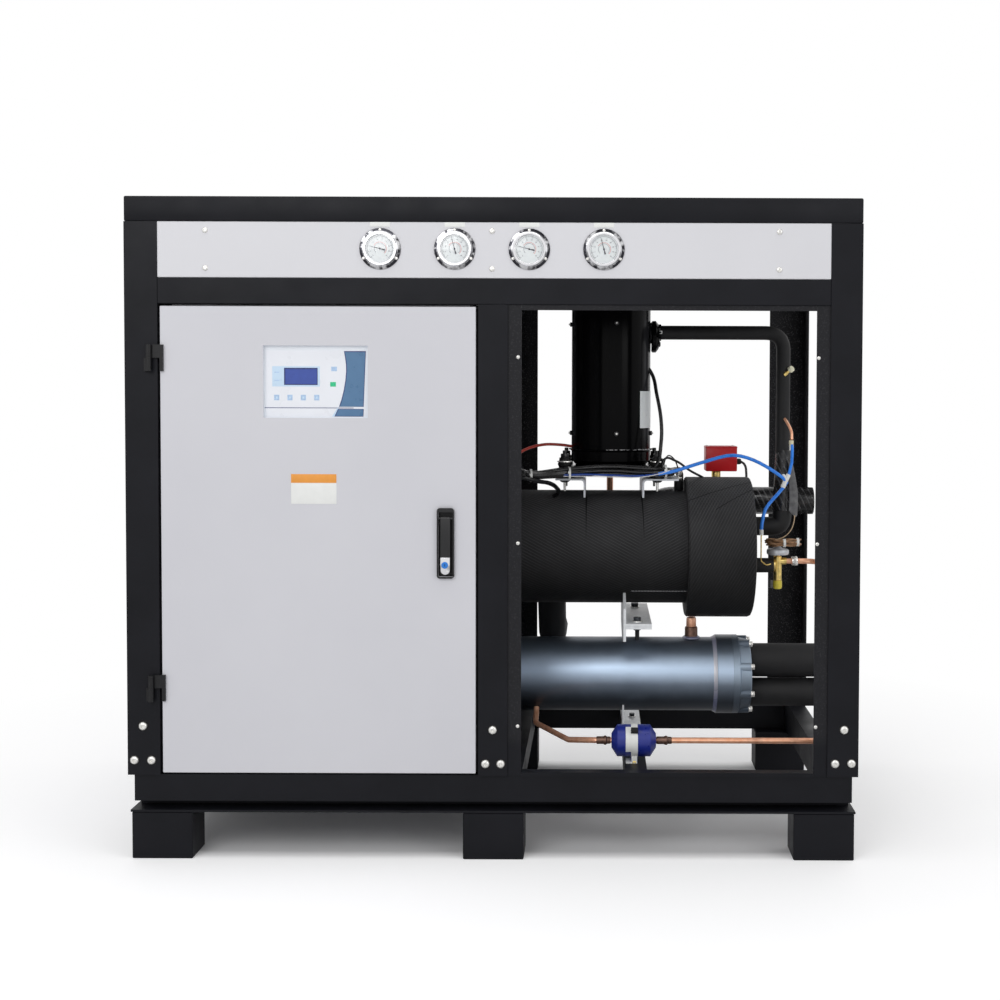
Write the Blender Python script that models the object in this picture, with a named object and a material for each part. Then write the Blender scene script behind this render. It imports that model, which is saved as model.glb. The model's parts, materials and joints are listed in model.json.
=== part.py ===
"""Water-cooled box chiller for a laser: frame, control cabinet and open refrigeration bay.

Metres, +Z up, seen from -Y. The origin is on the floor under the middle of the whole machine.
"""
import math

import bmesh
import bpy
from mathutils import Matrix, Vector

# Whole machine
WIDTH = 1.500
DEPTH = 0.750
HEIGHT = 1.358
FIT = 0.0003
# How far a cutting block reaches past the face that it opens
PAST = 0.010
DOOR_GAP = 0.005
BARREL_RADIUS = 0.0055
BARREL_OUT = 0.009

PROUD = BARREL_OUT + BARREL_RADIUS
LEFT = -WIDTH / 2
RIGHT = WIDTH / 2
FRONT = -DEPTH / 2 + PROUD / 2
BACK = FRONT + DEPTH

# Sheet-metal frame
SHEET = 0.003
FACE = 0.064
HINGE_FACE = 0.067
JAMB = 0.028
STEP_BACK = 0.004
DOOR_RETURN = 0.030
DOOR_JAMB = 0.020
MID_LEFT = -0.031
MID_RIGHT = 0.029
EDGE_ROUND = 0.002
RAIL_DEPTH = 0.029
TOP_WALL = 0.050
LEFT_FACE = LEFT + HINGE_FACE
RIGHT_FACE = RIGHT - FACE

# Heights of the frame
FOOT_TOP = 0.0975
BASE_TOP = 0.1745
SKIRT_BOTTOM = 0.119
SILL_HEIGHT = 0.0068
TOP_RAIL_BOTTOM = HEIGHT - 0.051
MID_RAIL_TOP = TOP_RAIL_BOTTOM - 0.1137
MID_RAIL_BOTTOM = MID_RAIL_TOP - 0.0526
LIP_DROP = 0.011

# Base channels and feet
FLANGE_SET = 0.0015
FLANGE_THICK = 0.0045
SKIRT_SET = 0.008
SKIRT_HALF = RIGHT - 0.011
FLANGE_HALF = SKIRT_HALF + SKIRT_SET - FLANGE_SET
CHANNEL_DEPTH = 0.050
FOOT_WIDTH = 0.125
FOOT_DEPTH = 0.085
FOOT_SET = 0.003
FOOT_OUTER = RIGHT - 0.0065
WELD_SET = 0.008
WELD_LAP = 0.002
CROSS_WIDTH = 0.046
CROSS_RIGHT = RIGHT * 0.3627
CROSS_LEFT = LEFT * 0.613
MIDDLE_RAIL_RIGHT = MID_RIGHT + JAMB

# Hinges on the left edge of the door
BARREL_X = LEFT + 0.052
LEAF_HEIGHT = 0.054
LEAF_SHEET = 0.0025
LEAF_REACH = 0.0276
LEAF_LIFT = 0.003
HINGE_LEVELS = (MID_RAIL_BOTTOM - 0.1107, BASE_TOP + 0.1805)
KNUCKLE_GAP = 0.00015

# Door and control unit
DOOR_THICK = 0.022
DOOR_SHEET = 0.002
DOOR_SET = 0.0005
DISPLAY_LEFT = LEFT + 0.2816
DISPLAY_RIGHT = DISPLAY_LEFT + 0.2126
DISPLAY_TOP = MID_RAIL_BOTTOM - 0.0845
DISPLAY_BOTTOM = DISPLAY_TOP - 0.147
DISPLAY_SUNK = 0.009
DISPLAY_RIM = 0.008
DISPLAY_DEPTH = 0.034

# Lock with its tilting lever
LOCK_RIGHT = MID_LEFT - 0.0486
LOCK_LEFT = LOCK_RIGHT - 0.0352
LOCK_TOP = 0.7261
LOCK_BOTTOM = LOCK_TOP - 0.1439
LOCK_OUT = 0.006
LOCK_LAP = 0.003
LOCK_END_LAP = 0.004
LOCK_ROUND = 0.006
LOCK_DEPTH = 0.026
POCKET_DEPTH = 0.0105
LEVER_HALF = 0.0101
LEVER_PIVOT = LOCK_TOP - 0.0211
LEVER_LENGTH = 0.1150
LEVER_THICK = 0.008
LEVER_CLEAR = 0.005
LEVER_OUT = 0.002
LEVER_PIN = 0.0022

# Gauges
GAUGE_MIDDLE = -0.003
GAUGE_PITCH = RIGHT * 0.2017
GAUGE_HEIGHT = TOP_RAIL_BOTTOM - 0.0547
GAUGE_FLANGE = 0.0420
GAUGE_RING = 0.0345
GAUGE_DIAL = 0.0290
GAUGE_CASE = 0.0310
GAUGE_CASE_DEPTH = 0.042
PANEL_SET = 0.001
PANEL_DEPTH = 0.019
PANEL_SHEET = 0.002

# Vessels, one above the other: heights stack up from the base, places across are shares of the half width
VESSEL_BACK = DEPTH * 0.56
COND_RADIUS = 0.0858
COND_HEIGHT = BASE_TOP + 0.1254
COND_LEFT = LEFT * 0.80
RING_LEFT = RIGHT * 0.6549
RING_RADIUS = 0.0918
CAST_LEFT = RIGHT * 0.7051
CAST_RIGHT = RIGHT * 0.7616
CAST_BOSSES = 8
EVAP_RADIUS = 0.1323
EVAP_HEIGHT = COND_HEIGHT + 0.3018
EVAP_LEFT = LEFT * 0.827
HEAD_LEFT = RIGHT * 0.5580
HEAD_RIGHT = RIGHT * 0.7615
HEAD_RADIUS = 0.1642
VESSEL_Y = FRONT + VESSEL_BACK

# Water pipes
UPPER_PIPE_HEIGHT = COND_HEIGHT + 0.0328
UPPER_PIPE_RADIUS = 0.0392
LOWER_PIPE_HEIGHT = COND_HEIGHT - 0.0427
LOWER_PIPE_RADIUS = 0.0331
PIPE_WALL = 0.014
PIPE_BORE = 0.060
CHILLED_Y = VESSEL_Y + HEAD_RADIUS + 0.0258
CHILLED_HEIGHT = EVAP_HEIGHT + 0.0939
CHILLED_RADIUS = 0.034
CHILLED_START = RIGHT * 0.49
RETURN_X = RIGHT * 0.1367
RETURN_HEIGHT = COND_HEIGHT + 0.060
RETURN_SLOPE = 55
SWITCH_X = RIGHT * 0.6928
SWITCH_HALF = 0.0388
SWITCH_DEPTH = 0.030
SWITCH_LOW = 0.040
SWITCH_TALL = 0.060
HEXAGON = 0.0165
HEXAGON_SHIFT = 0.0108

# Compressor on its two brackets
COMP_X = RIGHT * 0.3248
COMP_RADIUS = 0.0925
COMP_BOTTOM = EVAP_HEIGHT + 0.1911
COMP_SEAM = COMP_BOTTOM + 0.0367
COMP_TOP = HEIGHT * 0.9247
COMP_DOME = 0.056
COMP_FOOT_X = 0.106
COMP_FOOT_Y = 0.085
COMP_PLATE_EDGE = 0.014
GROMMET = 0.0125
BRACKET_SHEET = 0.004
SADDLE_SHEET = 0.006
BRACKET_TOP = COMP_BOTTOM - 0.026
BRACKET_HALF = COMP_FOOT_Y + 0.018
LEFT_WEB = COMP_X - 0.0586
LEFT_PLATE_END = COMP_X - 0.1271
RIGHT_WEB = COMP_X + 0.0715
RIGHT_PLATE_END = COMP_X + 0.1544
WEB_BOTTOM = BRACKET_TOP - 0.0428
WEB_BEND = 0.010

# Brackets of galvanised sheet between the vessels and under the lower one
BRACKET_PLANE = EVAP_HEIGHT - 0.1652
PLATE_HALF = 0.150
UPPER_SEAT_HALF = 0.090
UPPER_WEB_TALL = 0.040
SADDLE_SEAT_HALF = 0.030
SADDLE_WEB_TALL = 0.034
LOWER_SEAT_HALF = 0.060
UPPER_FLANGE = 0.064
LEG_FLANGE = 0.0446

# Refrigerant pipes
SUCTION_HEIGHT = COMP_TOP - 0.1514
SUCTION_X = RIGHT * 0.864
SUCTION_RADIUS = 0.0166
SUCTION_BEND = 0.042
SUCTION_VALVE = 0.0244
VALVE_DROP = 0.0096
ELBOW_RADIUS = 0.022
ELBOW_HEIGHT = EVAP_HEIGHT + 0.0483
ELBOW_TOP = ELBOW_HEIGHT + 0.045
DISCHARGE_RADIUS = 0.0080
DISCHARGE_OUT = 0.172
DISCHARGE_BEND = 0.030
DISCHARGE_LEVEL = EVAP_HEIGHT - 0.1017
DISCHARGE_LOW = EVAP_HEIGHT - 0.1767
DISCHARGE_DOWN_X = RIGHT * 0.6027
DISCHARGE_X = RIGHT * 0.5803
VALVE_X = RIGHT * 0.8476
VALVE_HEIGHT = EVAP_HEIGHT - 0.0367
VALVE_Y = VESSEL_Y - 0.020
VALVE_BODY = 0.0093
VALVE_OUTLET = 0.0145
VALVE_SHIFT = 0.005
VALVE_INLET = 0.0200
DRIER_LEFT = RIGHT * 0.3257
DRIER_RIGHT = RIGHT * 0.4523
DRIER_HEIGHT = BASE_TOP + 0.0440
DRIER_Y = FRONT + DEPTH * 0.16
DRIER_RADIUS = 0.0338
DRIER_END = 0.0153
DRIER_CONE = 0.012
STRAP_X = DRIER_LEFT + 0.0485
STRAP_HALF = 0.007
LIQUID_RADIUS = 0.00635
RISER_X = RIGHT * 0.967

# Cables and hose
CABLE_RADIUS = 0.0085
HOSE_RADIUS = 0.0040
CAPILLARY = 0.0016
SENSOR_X = HEAD_LEFT - 0.0100
SENSOR_BACK = 0.030
HOSE_X = HEAD_RIGHT + 0.0194
HOSE_Y = VESSEL_Y - 0.070
HOSE_HEIGHT = VALVE_HEIGHT + 0.0727

# Cabinet behind the door, clear of the brackets' plates
CABINET_LEFT = LEFT + 0.050
CABINET_RIGHT = 0.000
CABINET_BACK = VESSEL_BACK - PLATE_HALF - 0.015

BLACK_COAT = ((0.012, 0.012, 0.014), 0.42, 0.0)
GREY_COAT = ((0.62, 0.62, 0.66), 0.45, 0.0)
GALVANISED = ((0.55, 0.58, 0.60), 0.40, 0.8)
COPPER = ((0.80, 0.36, 0.22), 0.28, 1.0)
BRASS = ((0.75, 0.55, 0.22), 0.30, 1.0)
FOAM = ((0.015, 0.015, 0.015), 0.85, 0.0)
GLOSS_BLACK = ((0.010, 0.010, 0.012), 0.20, 0.0)
STEEL_BLUE = ((0.16, 0.20, 0.25), 0.32, 0.5)
CHROME = ((0.75, 0.75, 0.77), 0.15, 1.0)
BLACK_PLASTIC = ((0.02, 0.02, 0.02), 0.40, 0.0)
WHITE_PLASTIC = ((0.85, 0.87, 0.90), 0.40, 0.0)
RED_PLASTIC = ((0.65, 0.03, 0.02), 0.40, 0.0)
DEEP_BLUE = ((0.02, 0.03, 0.30), 0.30, 0.0)
HOSE_BLUE = ((0.02, 0.10, 0.45), 0.40, 0.0)

SCENE = bpy.context.scene


def clear_scene():
    for old in list(bpy.data.objects):
        bpy.data.objects.remove(old, do_unlink=True)


def finish_of(name, look):
    colour, roughness, metallic = look
    material = bpy.data.materials.new(name)
    material.use_nodes = True
    shader = material.node_tree.nodes["Principled BSDF"]
    shader.inputs["Base Color"].default_value = (*colour, 1.0)
    shader.inputs["Roughness"].default_value = roughness
    shader.inputs["Metallic"].default_value = metallic
    return material


def place(name, mesh, look, smooth=False):
    piece = bpy.data.objects.new(name, mesh)
    SCENE.collection.objects.link(piece)
    if look:
        mesh.materials.append(finish_of(name, look))
    if smooth:
        mesh.shade_smooth()
        mesh.set_sharp_from_angle(angle=math.radians(35))
    return piece


def mesh_from(bm, name):
    bmesh.ops.recalc_face_normals(bm, faces=bm.faces)
    mesh = bpy.data.meshes.new(name)
    bm.to_mesh(mesh)
    bm.free()
    return mesh


def box(name, x, y, z, look=None):
    """A block between pairs of world positions."""
    bm = bmesh.new()
    bmesh.ops.create_cube(bm, size=1.0)
    size = Vector((x[1] - x[0], y[1] - y[0], z[1] - z[0]))
    middle = Vector(((x[0] + x[1]) / 2, (y[0] + y[1]) / 2, (z[0] + z[1]) / 2))
    bmesh.ops.scale(bm, vec=size, verts=bm.verts)
    piece = place(name, mesh_from(bm, name), look)
    piece.location = middle
    return piece


def prism(name, outline, axis, start, end, look=None, smooth=False):
    """An outline pushed along one world axis. The outline is in the other two, in XYZ order."""
    bm = bmesh.new()
    others = [i for i in range(3) if i != axis]
    corners = []
    for point in outline:
        place_at = [0.0, 0.0, 0.0]
        place_at[axis] = start
        place_at[others[0]] = point[0]
        place_at[others[1]] = point[1]
        corners.append(bm.verts.new(place_at))
    face = bm.faces.new(corners)
    pushed = bmesh.ops.extrude_face_region(bm, geom=[face])
    moved = [item for item in pushed["geom"] if isinstance(item, bmesh.types.BMVert)]
    push = Vector((0.0, 0.0, 0.0))
    push[axis] = end - start
    bmesh.ops.translate(bm, vec=push, verts=moved)
    return place(name, mesh_from(bm, name), look, smooth)


def turned(name, profile, at, direction, look=None, sides=32):
    """A closed body turned about an axis. The profile holds (radius, height along the axis)."""
    bm = bmesh.new()
    rings = []
    for radius, height in profile:
        if radius == 0.0:
            rings.append([bm.verts.new((0.0, 0.0, height))])
            continue
        ring = []
        for step in range(sides):
            angle = 2 * math.pi * step / sides
            ring.append(bm.verts.new((radius * math.cos(angle), radius * math.sin(angle), height)))
        rings.append(ring)
    for low, high in zip(rings, rings[1:]):
        for step in range(sides):
            after = (step + 1) % sides
            corners = [low[step % len(low)], low[after % len(low)], high[after % len(high)],
                       high[step % len(high)]]
            bm.faces.new(list(dict.fromkeys(corners)))
    for end in (rings[0], rings[-1]):
        if len(end) > 1:
            bm.faces.new(end)
    turn = Vector((0.0, 0.0, 1.0)).rotation_difference(Vector(direction)).to_matrix().to_4x4()
    bmesh.ops.transform(bm, matrix=turn, verts=bm.verts)
    piece = place(name, mesh_from(bm, name), look, smooth=True)
    piece.location = at
    return piece


def filleted(points, radius, steps=6):
    """Points along a route whose corners are rounded."""
    route = [Vector(point) for point in points]
    smooth = [route[0]]
    for before, corner, after in zip(route, route[1:], route[2:]):
        back = (before - corner).normalized()
        on = (after - corner).normalized()
        half = back.angle(on) / 2
        cut = min(radius / math.tan(half), (before - corner).length / 2, (after - corner).length / 2)
        start = corner + back * cut
        end = corner + on * cut
        for step in range(steps + 1):
            t = step / steps
            smooth.append(start * (1 - t) ** 2 + corner * 2 * t * (1 - t) + end * t ** 2)
    smooth.append(route[-1])
    return smooth


def flowing(points, spacing):
    """Evenly spaced points on a smooth curve through the route's own points."""
    route = [Vector(point) for point in points]
    route = [route[0] * 2 - route[1]] + route + [route[-1] * 2 - route[-2]]
    dense = []
    for a, b, c, d in zip(route, route[1:], route[2:], route[3:]):
        for step in range(24):
            t = step / 24
            dense.append(0.5 * (2 * b + (c - a) * t + (2 * a - 5 * b + 4 * c - d) * t * t
                                + (3 * b - a - 3 * c + d) * t ** 3))
    dense.append(route[-2])
    even = [route[1], route[1] + (route[2] - route[1]) * 0.3]
    walked = 0.0
    for before, after in zip(dense[7:], dense[8:]):
        walked += (after - before).length
        if walked >= spacing:
            even.append(after)
            walked = 0.0
    if (even[-1] - dense[-1]).length < spacing:
        even.pop()
    even.append(route[-2] + (route[-3] - route[-2]) * 0.3)
    even.append(route[-2])
    return even


def tube(name, points, radius, look=None, resolution=4):
    """A round rod along the points, with filled ends."""
    curve = bpy.data.curves.new(name, "CURVE")
    curve.dimensions = "3D"
    curve.bevel_depth = radius
    curve.bevel_resolution = resolution
    curve.use_fill_caps = True
    spline = curve.splines.new("POLY")
    spline.points.add(len(points) - 1)
    for target, point in zip(spline.points, points):
        target.co = (*point, 1.0)
    piece = bpy.data.objects.new(name, curve)
    SCENE.collection.objects.link(piece)
    if look:
        curve.materials.append(finish_of(name, look))
    return piece


def as_mesh(rod):
    """The rod as a closed mesh, so that it can be cut."""
    name = rod.name
    bm = bmesh.new()
    bm.from_mesh(bpy.data.meshes.new_from_object(rod.evaluated_get(bpy.context.evaluated_depsgraph_get())))
    bmesh.ops.remove_doubles(bm, verts=bm.verts, dist=0.00001)
    bpy.data.objects.remove(rod, do_unlink=True)
    return place(name, mesh_from(bm, name), None, smooth=True)


def combine(piece, tool, how):
    """A Boolean on the piece. The tool stays in the scene as a wire guide."""
    step = piece.modifiers.new(how.lower() + " " + tool.name, "BOOLEAN")
    step.operation = how
    step.object = tool
    step.solver = "EXACT"
    tool.hide_render = True
    tool.display_type = "WIRE"


def cut(piece, *tools):
    for tool in tools:
        combine(piece, tool, "DIFFERENCE")


def add(piece, *tools):
    for tool in tools:
        combine(piece, tool, "UNION")


def soften(piece, width=EDGE_ROUND, segments=1):
    """Small rounds on the sharp edges, before any Boolean."""
    step = piece.modifiers.new("edges", "BEVEL")
    step.width = width
    step.segments = segments
    step.limit_method = "ANGLE"
    step.angle_limit = math.radians(40)


def arc(centre, radius, start, end, steps):
    """Points on a round stretch of an outline, angles in degrees."""
    points = []
    for step in range(steps + 1):
        angle = math.radians(start + (end - start) * step / steps)
        points.append((centre[0] + radius * math.cos(angle), centre[1] + radius * math.sin(angle)))
    return points


def corner_outline(side, face_x, return_x, jamb_x, side_step, at_back):
    """Folded corner post seen from above. Side is -1 on the left and 1 on the right."""
    outer = [(face_x + jamb_x, return_x), (face_x, return_x), (face_x, 0.0), (0.0, 0.0)]
    outer += [(0.0, FACE), (side_step, FACE), (side_step, FACE + JAMB)]
    inner = [(side_step + SHEET, FACE + JAMB), (side_step + SHEET, FACE - SHEET), (SHEET, FACE - SHEET)]
    inner += [(SHEET, SHEET), (face_x - SHEET, SHEET), (face_x - SHEET, return_x + SHEET)]
    inner += [(face_x + jamb_x, return_x + SHEET)]
    corner_x = RIGHT if side > 0 else LEFT
    corner_y = BACK if at_back else FRONT
    turn = -1 if at_back else 1
    return [(corner_x - side * u, corner_y + turn * v) for u, v in outer + inner]


def middle_outline(at_back):
    """Folded middle post seen from above: door or panel on its left, open bay on its right."""
    step = STEP_BACK if at_back else DOOR_RETURN
    reach = JAMB if at_back else DOOR_JAMB
    outer = [(MID_LEFT - reach, step), (MID_LEFT, step), (MID_LEFT, 0.0), (MID_RIGHT, 0.0)]
    outer += [(MID_RIGHT, STEP_BACK), (MID_RIGHT + JAMB, STEP_BACK)]
    inner = [(MID_RIGHT + JAMB, STEP_BACK + SHEET), (MID_RIGHT - SHEET, STEP_BACK + SHEET)]
    inner += [(MID_RIGHT - SHEET, SHEET), (MID_LEFT + SHEET, SHEET), (MID_LEFT + SHEET, step + SHEET)]
    inner += [(MID_LEFT - reach, step + SHEET)]
    turn = -1 if at_back else 1
    start = BACK if at_back else FRONT
    return [(x, start + turn * y) for x, y in outer + inner]


def build_posts():
    low = BASE_TOP + FIT
    high = TOP_RAIL_BOTTOM - FIT
    hinge_post = corner_outline(-1, HINGE_FACE, DOOR_RETURN, DOOR_JAMB, STEP_BACK, False)
    prism("post_front_left", hinge_post, 2, low, high, BLACK_COAT)
    prism("post_front_right", corner_outline(1, FACE, STEP_BACK, JAMB, STEP_BACK, False), 2, low, high,
          BLACK_COAT)
    prism("post_rear_left", corner_outline(-1, HINGE_FACE, STEP_BACK, JAMB, STEP_BACK, True), 2, low, high,
          BLACK_COAT)
    prism("post_rear_right", corner_outline(1, FACE, STEP_BACK, JAMB, STEP_BACK, True), 2, low, high,
          BLACK_COAT)
    prism("post_front_middle", middle_outline(False), 2, low, MID_RAIL_BOTTOM - FIT, BLACK_COAT)
    prism("post_rear_middle", middle_outline(True), 2, low, high, BLACK_COAT)


def channel_outline(start, turn):
    """Base channel with outward flanges and a skirt, in depth and height, or width and height."""
    shape = [(FLANGE_SET, FOOT_TOP), (CHANNEL_DEPTH, FOOT_TOP), (CHANNEL_DEPTH, BASE_TOP),
             (SKIRT_SET, BASE_TOP)]
    shape += [(SKIRT_SET, SKIRT_BOTTOM), (SKIRT_SET + SHEET, SKIRT_BOTTOM),
              (SKIRT_SET + SHEET, BASE_TOP - SHEET)]
    shape += [(CHANNEL_DEPTH - SHEET, BASE_TOP - SHEET), (CHANNEL_DEPTH - SHEET, FOOT_TOP + FLANGE_THICK)]
    shape += [(FLANGE_SET, FOOT_TOP + FLANGE_THICK)]
    return [(start + turn * a, b) for a, b in shape]


def build_base_side(name, at_back):
    """Front or rear channel with its end plates and three box feet welded under it."""
    turn = -1 if at_back else 1
    start = BACK if at_back else FRONT

    def span(near, far):
        return tuple(sorted((start + turn * near, start + turn * far)))

    rail = prism(name, channel_outline(start, turn), 0, -SKIRT_HALF, SKIRT_HALF, BLACK_COAT)
    for side in (-1, 1):
        ends = tuple(sorted((side * SKIRT_HALF, side * (SKIRT_HALF - SHEET))))
        plate = box(name + " end", ends, span(SKIRT_SET, CHANNEL_DEPTH), (SKIRT_BOTTOM, BASE_TOP))
        add(rail, plate)
        tip = tuple(sorted((side * (SKIRT_HALF - PAST), side * FLANGE_HALF)))
        add(rail, box(name + " flange", tip, span(FLANGE_SET, CHANNEL_DEPTH),
                      (FOOT_TOP, FOOT_TOP + FLANGE_THICK)))
    for middle in (-FOOT_OUTER + FOOT_WIDTH / 2, 0.0, FOOT_OUTER - FOOT_WIDTH / 2):
        foot_x = (middle - FOOT_WIDTH / 2, middle + FOOT_WIDTH / 2)
        foot = box(name + " foot", foot_x, span(FOOT_SET, FOOT_SET + FOOT_DEPTH), (0.0, FOOT_TOP - FIT))
        soften(foot)
        weld_x = (foot_x[0] + WELD_SET, foot_x[1] - WELD_SET)
        weld = box(name + " weld", weld_x, span(FOOT_SET + WELD_SET, CHANNEL_DEPTH - WELD_LAP),
                   (FOOT_TOP - PAST, FOOT_TOP + WELD_LAP))
        add(rail, foot, weld)
    if not at_back:
        sill_x = (MID_RIGHT + JAMB + FIT, RIGHT_FACE - JAMB - FIT)
        sill = box(name + " sill", sill_x, span(STEP_BACK, RAIL_DEPTH),
                   (BASE_TOP - WELD_LAP, BASE_TOP + SILL_HEIGHT))
        add(rail, sill)
    return rail


def build_base():
    build_base_side("base_front_rail", False)
    build_base_side("base_rear_rail", True)
    near = FRONT + CHANNEL_DEPTH + FIT
    far = BACK - CHANNEL_DEPTH - FIT
    prism("base_left_rail", channel_outline(-SKIRT_HALF - SKIRT_SET, 1), 1, near, far, BLACK_COAT)
    prism("base_right_rail", channel_outline(SKIRT_HALF + SKIRT_SET, -1), 1, near, far, BLACK_COAT)
    for name, low_x, high_x in (
        ("base_middle_rail", MID_LEFT, MIDDLE_RAIL_RIGHT),
        ("base_cross_rail_left", CROSS_LEFT, CROSS_LEFT + CROSS_WIDTH),
        ("base_cross_rail_right", CROSS_RIGHT, CROSS_RIGHT + CROSS_WIDTH),
    ):
        outline = [(low_x, SKIRT_BOTTOM), (low_x, BASE_TOP), (high_x, BASE_TOP), (high_x, SKIRT_BOTTOM)]
        outline += [(high_x - SHEET, SKIRT_BOTTOM), (high_x - SHEET, BASE_TOP - SHEET)]
        outline += [(low_x + SHEET, BASE_TOP - SHEET), (low_x + SHEET, SKIRT_BOTTOM)]
        prism(name, outline, 1, near, far, BLACK_COAT)


def build_top():
    """Top frame with its roof sheet, open underneath."""
    frame = box("top_frame", (LEFT, RIGHT), (FRONT, BACK), (TOP_RAIL_BOTTOM, HEIGHT), BLACK_COAT)
    soften(frame, 0.003, 2)
    hollow = box("top hollow", (LEFT + TOP_WALL, RIGHT - TOP_WALL), (FRONT + TOP_WALL, BACK - TOP_WALL),
                 (TOP_RAIL_BOTTOM - PAST, HEIGHT - SHEET))
    cut(frame, hollow)


def build_front_rail():
    """Rail over the door and the bay, with the bay's lip under it."""
    span = (LEFT_FACE + FIT, RIGHT_FACE - FIT)
    rail = box("front_mid_rail", span, (FRONT, FRONT + RAIL_DEPTH), (MID_RAIL_BOTTOM, MID_RAIL_TOP),
               BLACK_COAT)
    soften(rail, EDGE_ROUND / 2)
    hollow = box("mid rail hollow", (span[0] - PAST, span[1] + PAST),
                 (FRONT + SHEET, FRONT + RAIL_DEPTH + PAST),
                 (MID_RAIL_BOTTOM + SHEET, MID_RAIL_TOP - SHEET))
    lip_x = (MID_RIGHT + JAMB + FIT, RIGHT_FACE - JAMB - FIT)
    lip = box("bay lip", lip_x, (FRONT + STEP_BACK, FRONT + STEP_BACK + SHEET),
              (MID_RAIL_BOTTOM - LIP_DROP, MID_RAIL_BOTTOM + SHEET / 2))
    cut(rail, hollow, jamb_notch("rail notch", MID_RAIL_BOTTOM, MID_RAIL_TOP))
    add(rail, lip)


def jamb_notch(name, low, high):
    """Room behind a front sheet for the right post's jamb."""
    return box(name, (RIGHT_FACE - JAMB - FIT, RIGHT), (FRONT + SHEET + FIT, FRONT + RAIL_DEPTH + PAST),
               (low - PAST, high + PAST))


def gauge_places():
    return [GAUGE_MIDDLE + GAUGE_PITCH * (index - 1.5) for index in range(4)]


def build_gauge_panel():
    span = (LEFT_FACE + FIT, RIGHT_FACE - FIT)
    levels = (MID_RAIL_TOP + FIT, TOP_RAIL_BOTTOM - FIT)
    face = FRONT + PANEL_SET
    panel = box("gauge_panel", span, (face, face + PANEL_DEPTH), levels, GREY_COAT)
    soften(panel, EDGE_ROUND / 2)
    hollow = box("gauge panel hollow", (span[0] + PANEL_SHEET, span[1] - PANEL_SHEET),
                 (face + PANEL_SHEET, face + PANEL_DEPTH + PAST),
                 (levels[0] + PANEL_SHEET, levels[1] - PANEL_SHEET))
    cut(panel, hollow, jamb_notch("panel notch", *levels))
    for index, middle in enumerate(gauge_places()):
        bore = turned("gauge hole", [(GAUGE_CASE + FIT * 3, -PAST), (GAUGE_CASE + FIT * 3, PAST)],
                      (middle, FRONT, GAUGE_HEIGHT), (0, 1, 0))
        cut(panel, bore)
        build_gauge("pressure_gauge_%d" % (index + 1), middle)


def build_gauge(name, middle):
    """Flush gauge: wide flange, stepped ring, sunk dial and case behind the panel."""
    profile = [(0.0, PANEL_SET + GAUGE_CASE_DEPTH), (GAUGE_CASE, PANEL_SET + GAUGE_CASE_DEPTH)]
    profile += [(GAUGE_CASE, PANEL_SET - FIT), (GAUGE_FLANGE, PANEL_SET - FIT), (GAUGE_FLANGE, -0.0008)]
    profile += [(GAUGE_FLANGE - 0.001, -0.0018), (GAUGE_RING + 0.0012, -0.0022), (GAUGE_RING, -0.0068)]
    profile += [(GAUGE_RING - 0.0015, -0.0080), (GAUGE_DIAL + 0.0010, -0.0080), (GAUGE_DIAL, -0.0070)]
    profile += [(GAUGE_DIAL, -0.0035), (0.0, -0.0035)]
    turned(name, profile, (middle, FRONT, GAUGE_HEIGHT), (0, 1, 0), CHROME, sides=28)


def build_panels():
    low = BASE_TOP + FIT
    high = TOP_RAIL_BOTTOM - FIT
    sheet = STEP_BACK - FIT
    box("left_side_panel", (LEFT, LEFT + sheet), (FRONT + FACE + FIT, BACK - FACE - FIT), (low, high),
        GREY_COAT)
    box("rear_panel", (LEFT_FACE + FIT, MID_LEFT - FIT), (BACK - sheet, BACK), (low, high), GREY_COAT)


def build_cabinet():
    """Electrical cabinet as an open-fronted folded box."""
    front = FRONT + DOOR_RETURN + SHEET + FIT
    back = FRONT + CABINET_BACK
    low = BASE_TOP + FIT
    high = MID_RAIL_BOTTOM - FIT
    shell = box("cabinet_box", (CABINET_LEFT, CABINET_RIGHT), (front, back), (low, high), GREY_COAT)
    hollow = box("cabinet hollow", (CABINET_LEFT + SHEET, CABINET_RIGHT - SHEET),
                 (front - PAST, back - SHEET),
                 (low + SHEET, high - SHEET))
    cut(shell, hollow)


def build_door(pivot):
    """Folded tray door with the cut-outs for the control unit and the lock."""
    door_x = (LEFT_FACE + DOOR_GAP, MID_LEFT - DOOR_GAP)
    door_z = (BASE_TOP + DOOR_GAP, MID_RAIL_BOTTOM - DOOR_GAP)
    face = FRONT + DOOR_SET
    door = box("door_panel", door_x, (face, face + DOOR_THICK), door_z, GREY_COAT)
    soften(door, EDGE_ROUND / 2)
    hollow = box("door hollow", (door_x[0] + DOOR_SHEET, door_x[1] - DOOR_SHEET),
                 (face + DOOR_SHEET, face + DOOR_THICK + PAST),
                 (door_z[0] + DOOR_SHEET, door_z[1] - DOOR_SHEET))
    window = box("display cut", (DISPLAY_LEFT, DISPLAY_RIGHT), (face - PAST, face + PAST),
                 (DISPLAY_BOTTOM, DISPLAY_TOP))
    slot = box("lock cut", (LOCK_LEFT + LOCK_LAP, LOCK_RIGHT - LOCK_LAP), (face - PAST, face + PAST),
               (LOCK_BOTTOM + LOCK_END_LAP, LOCK_TOP - LOCK_END_LAP))
    cut(door, hollow, window, slot)
    leaves = [build_hinge("hinge_%d" % (index + 1), level) for index, level in enumerate(HINGE_LEVELS)]
    for piece in [door, build_controller(face), build_lock(face)] + leaves:
        hang_on(piece, pivot)


def hang_on(piece, pivot):
    piece.parent = pivot
    piece.matrix_parent_inverse = Matrix.Translation(-pivot.location)


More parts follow.
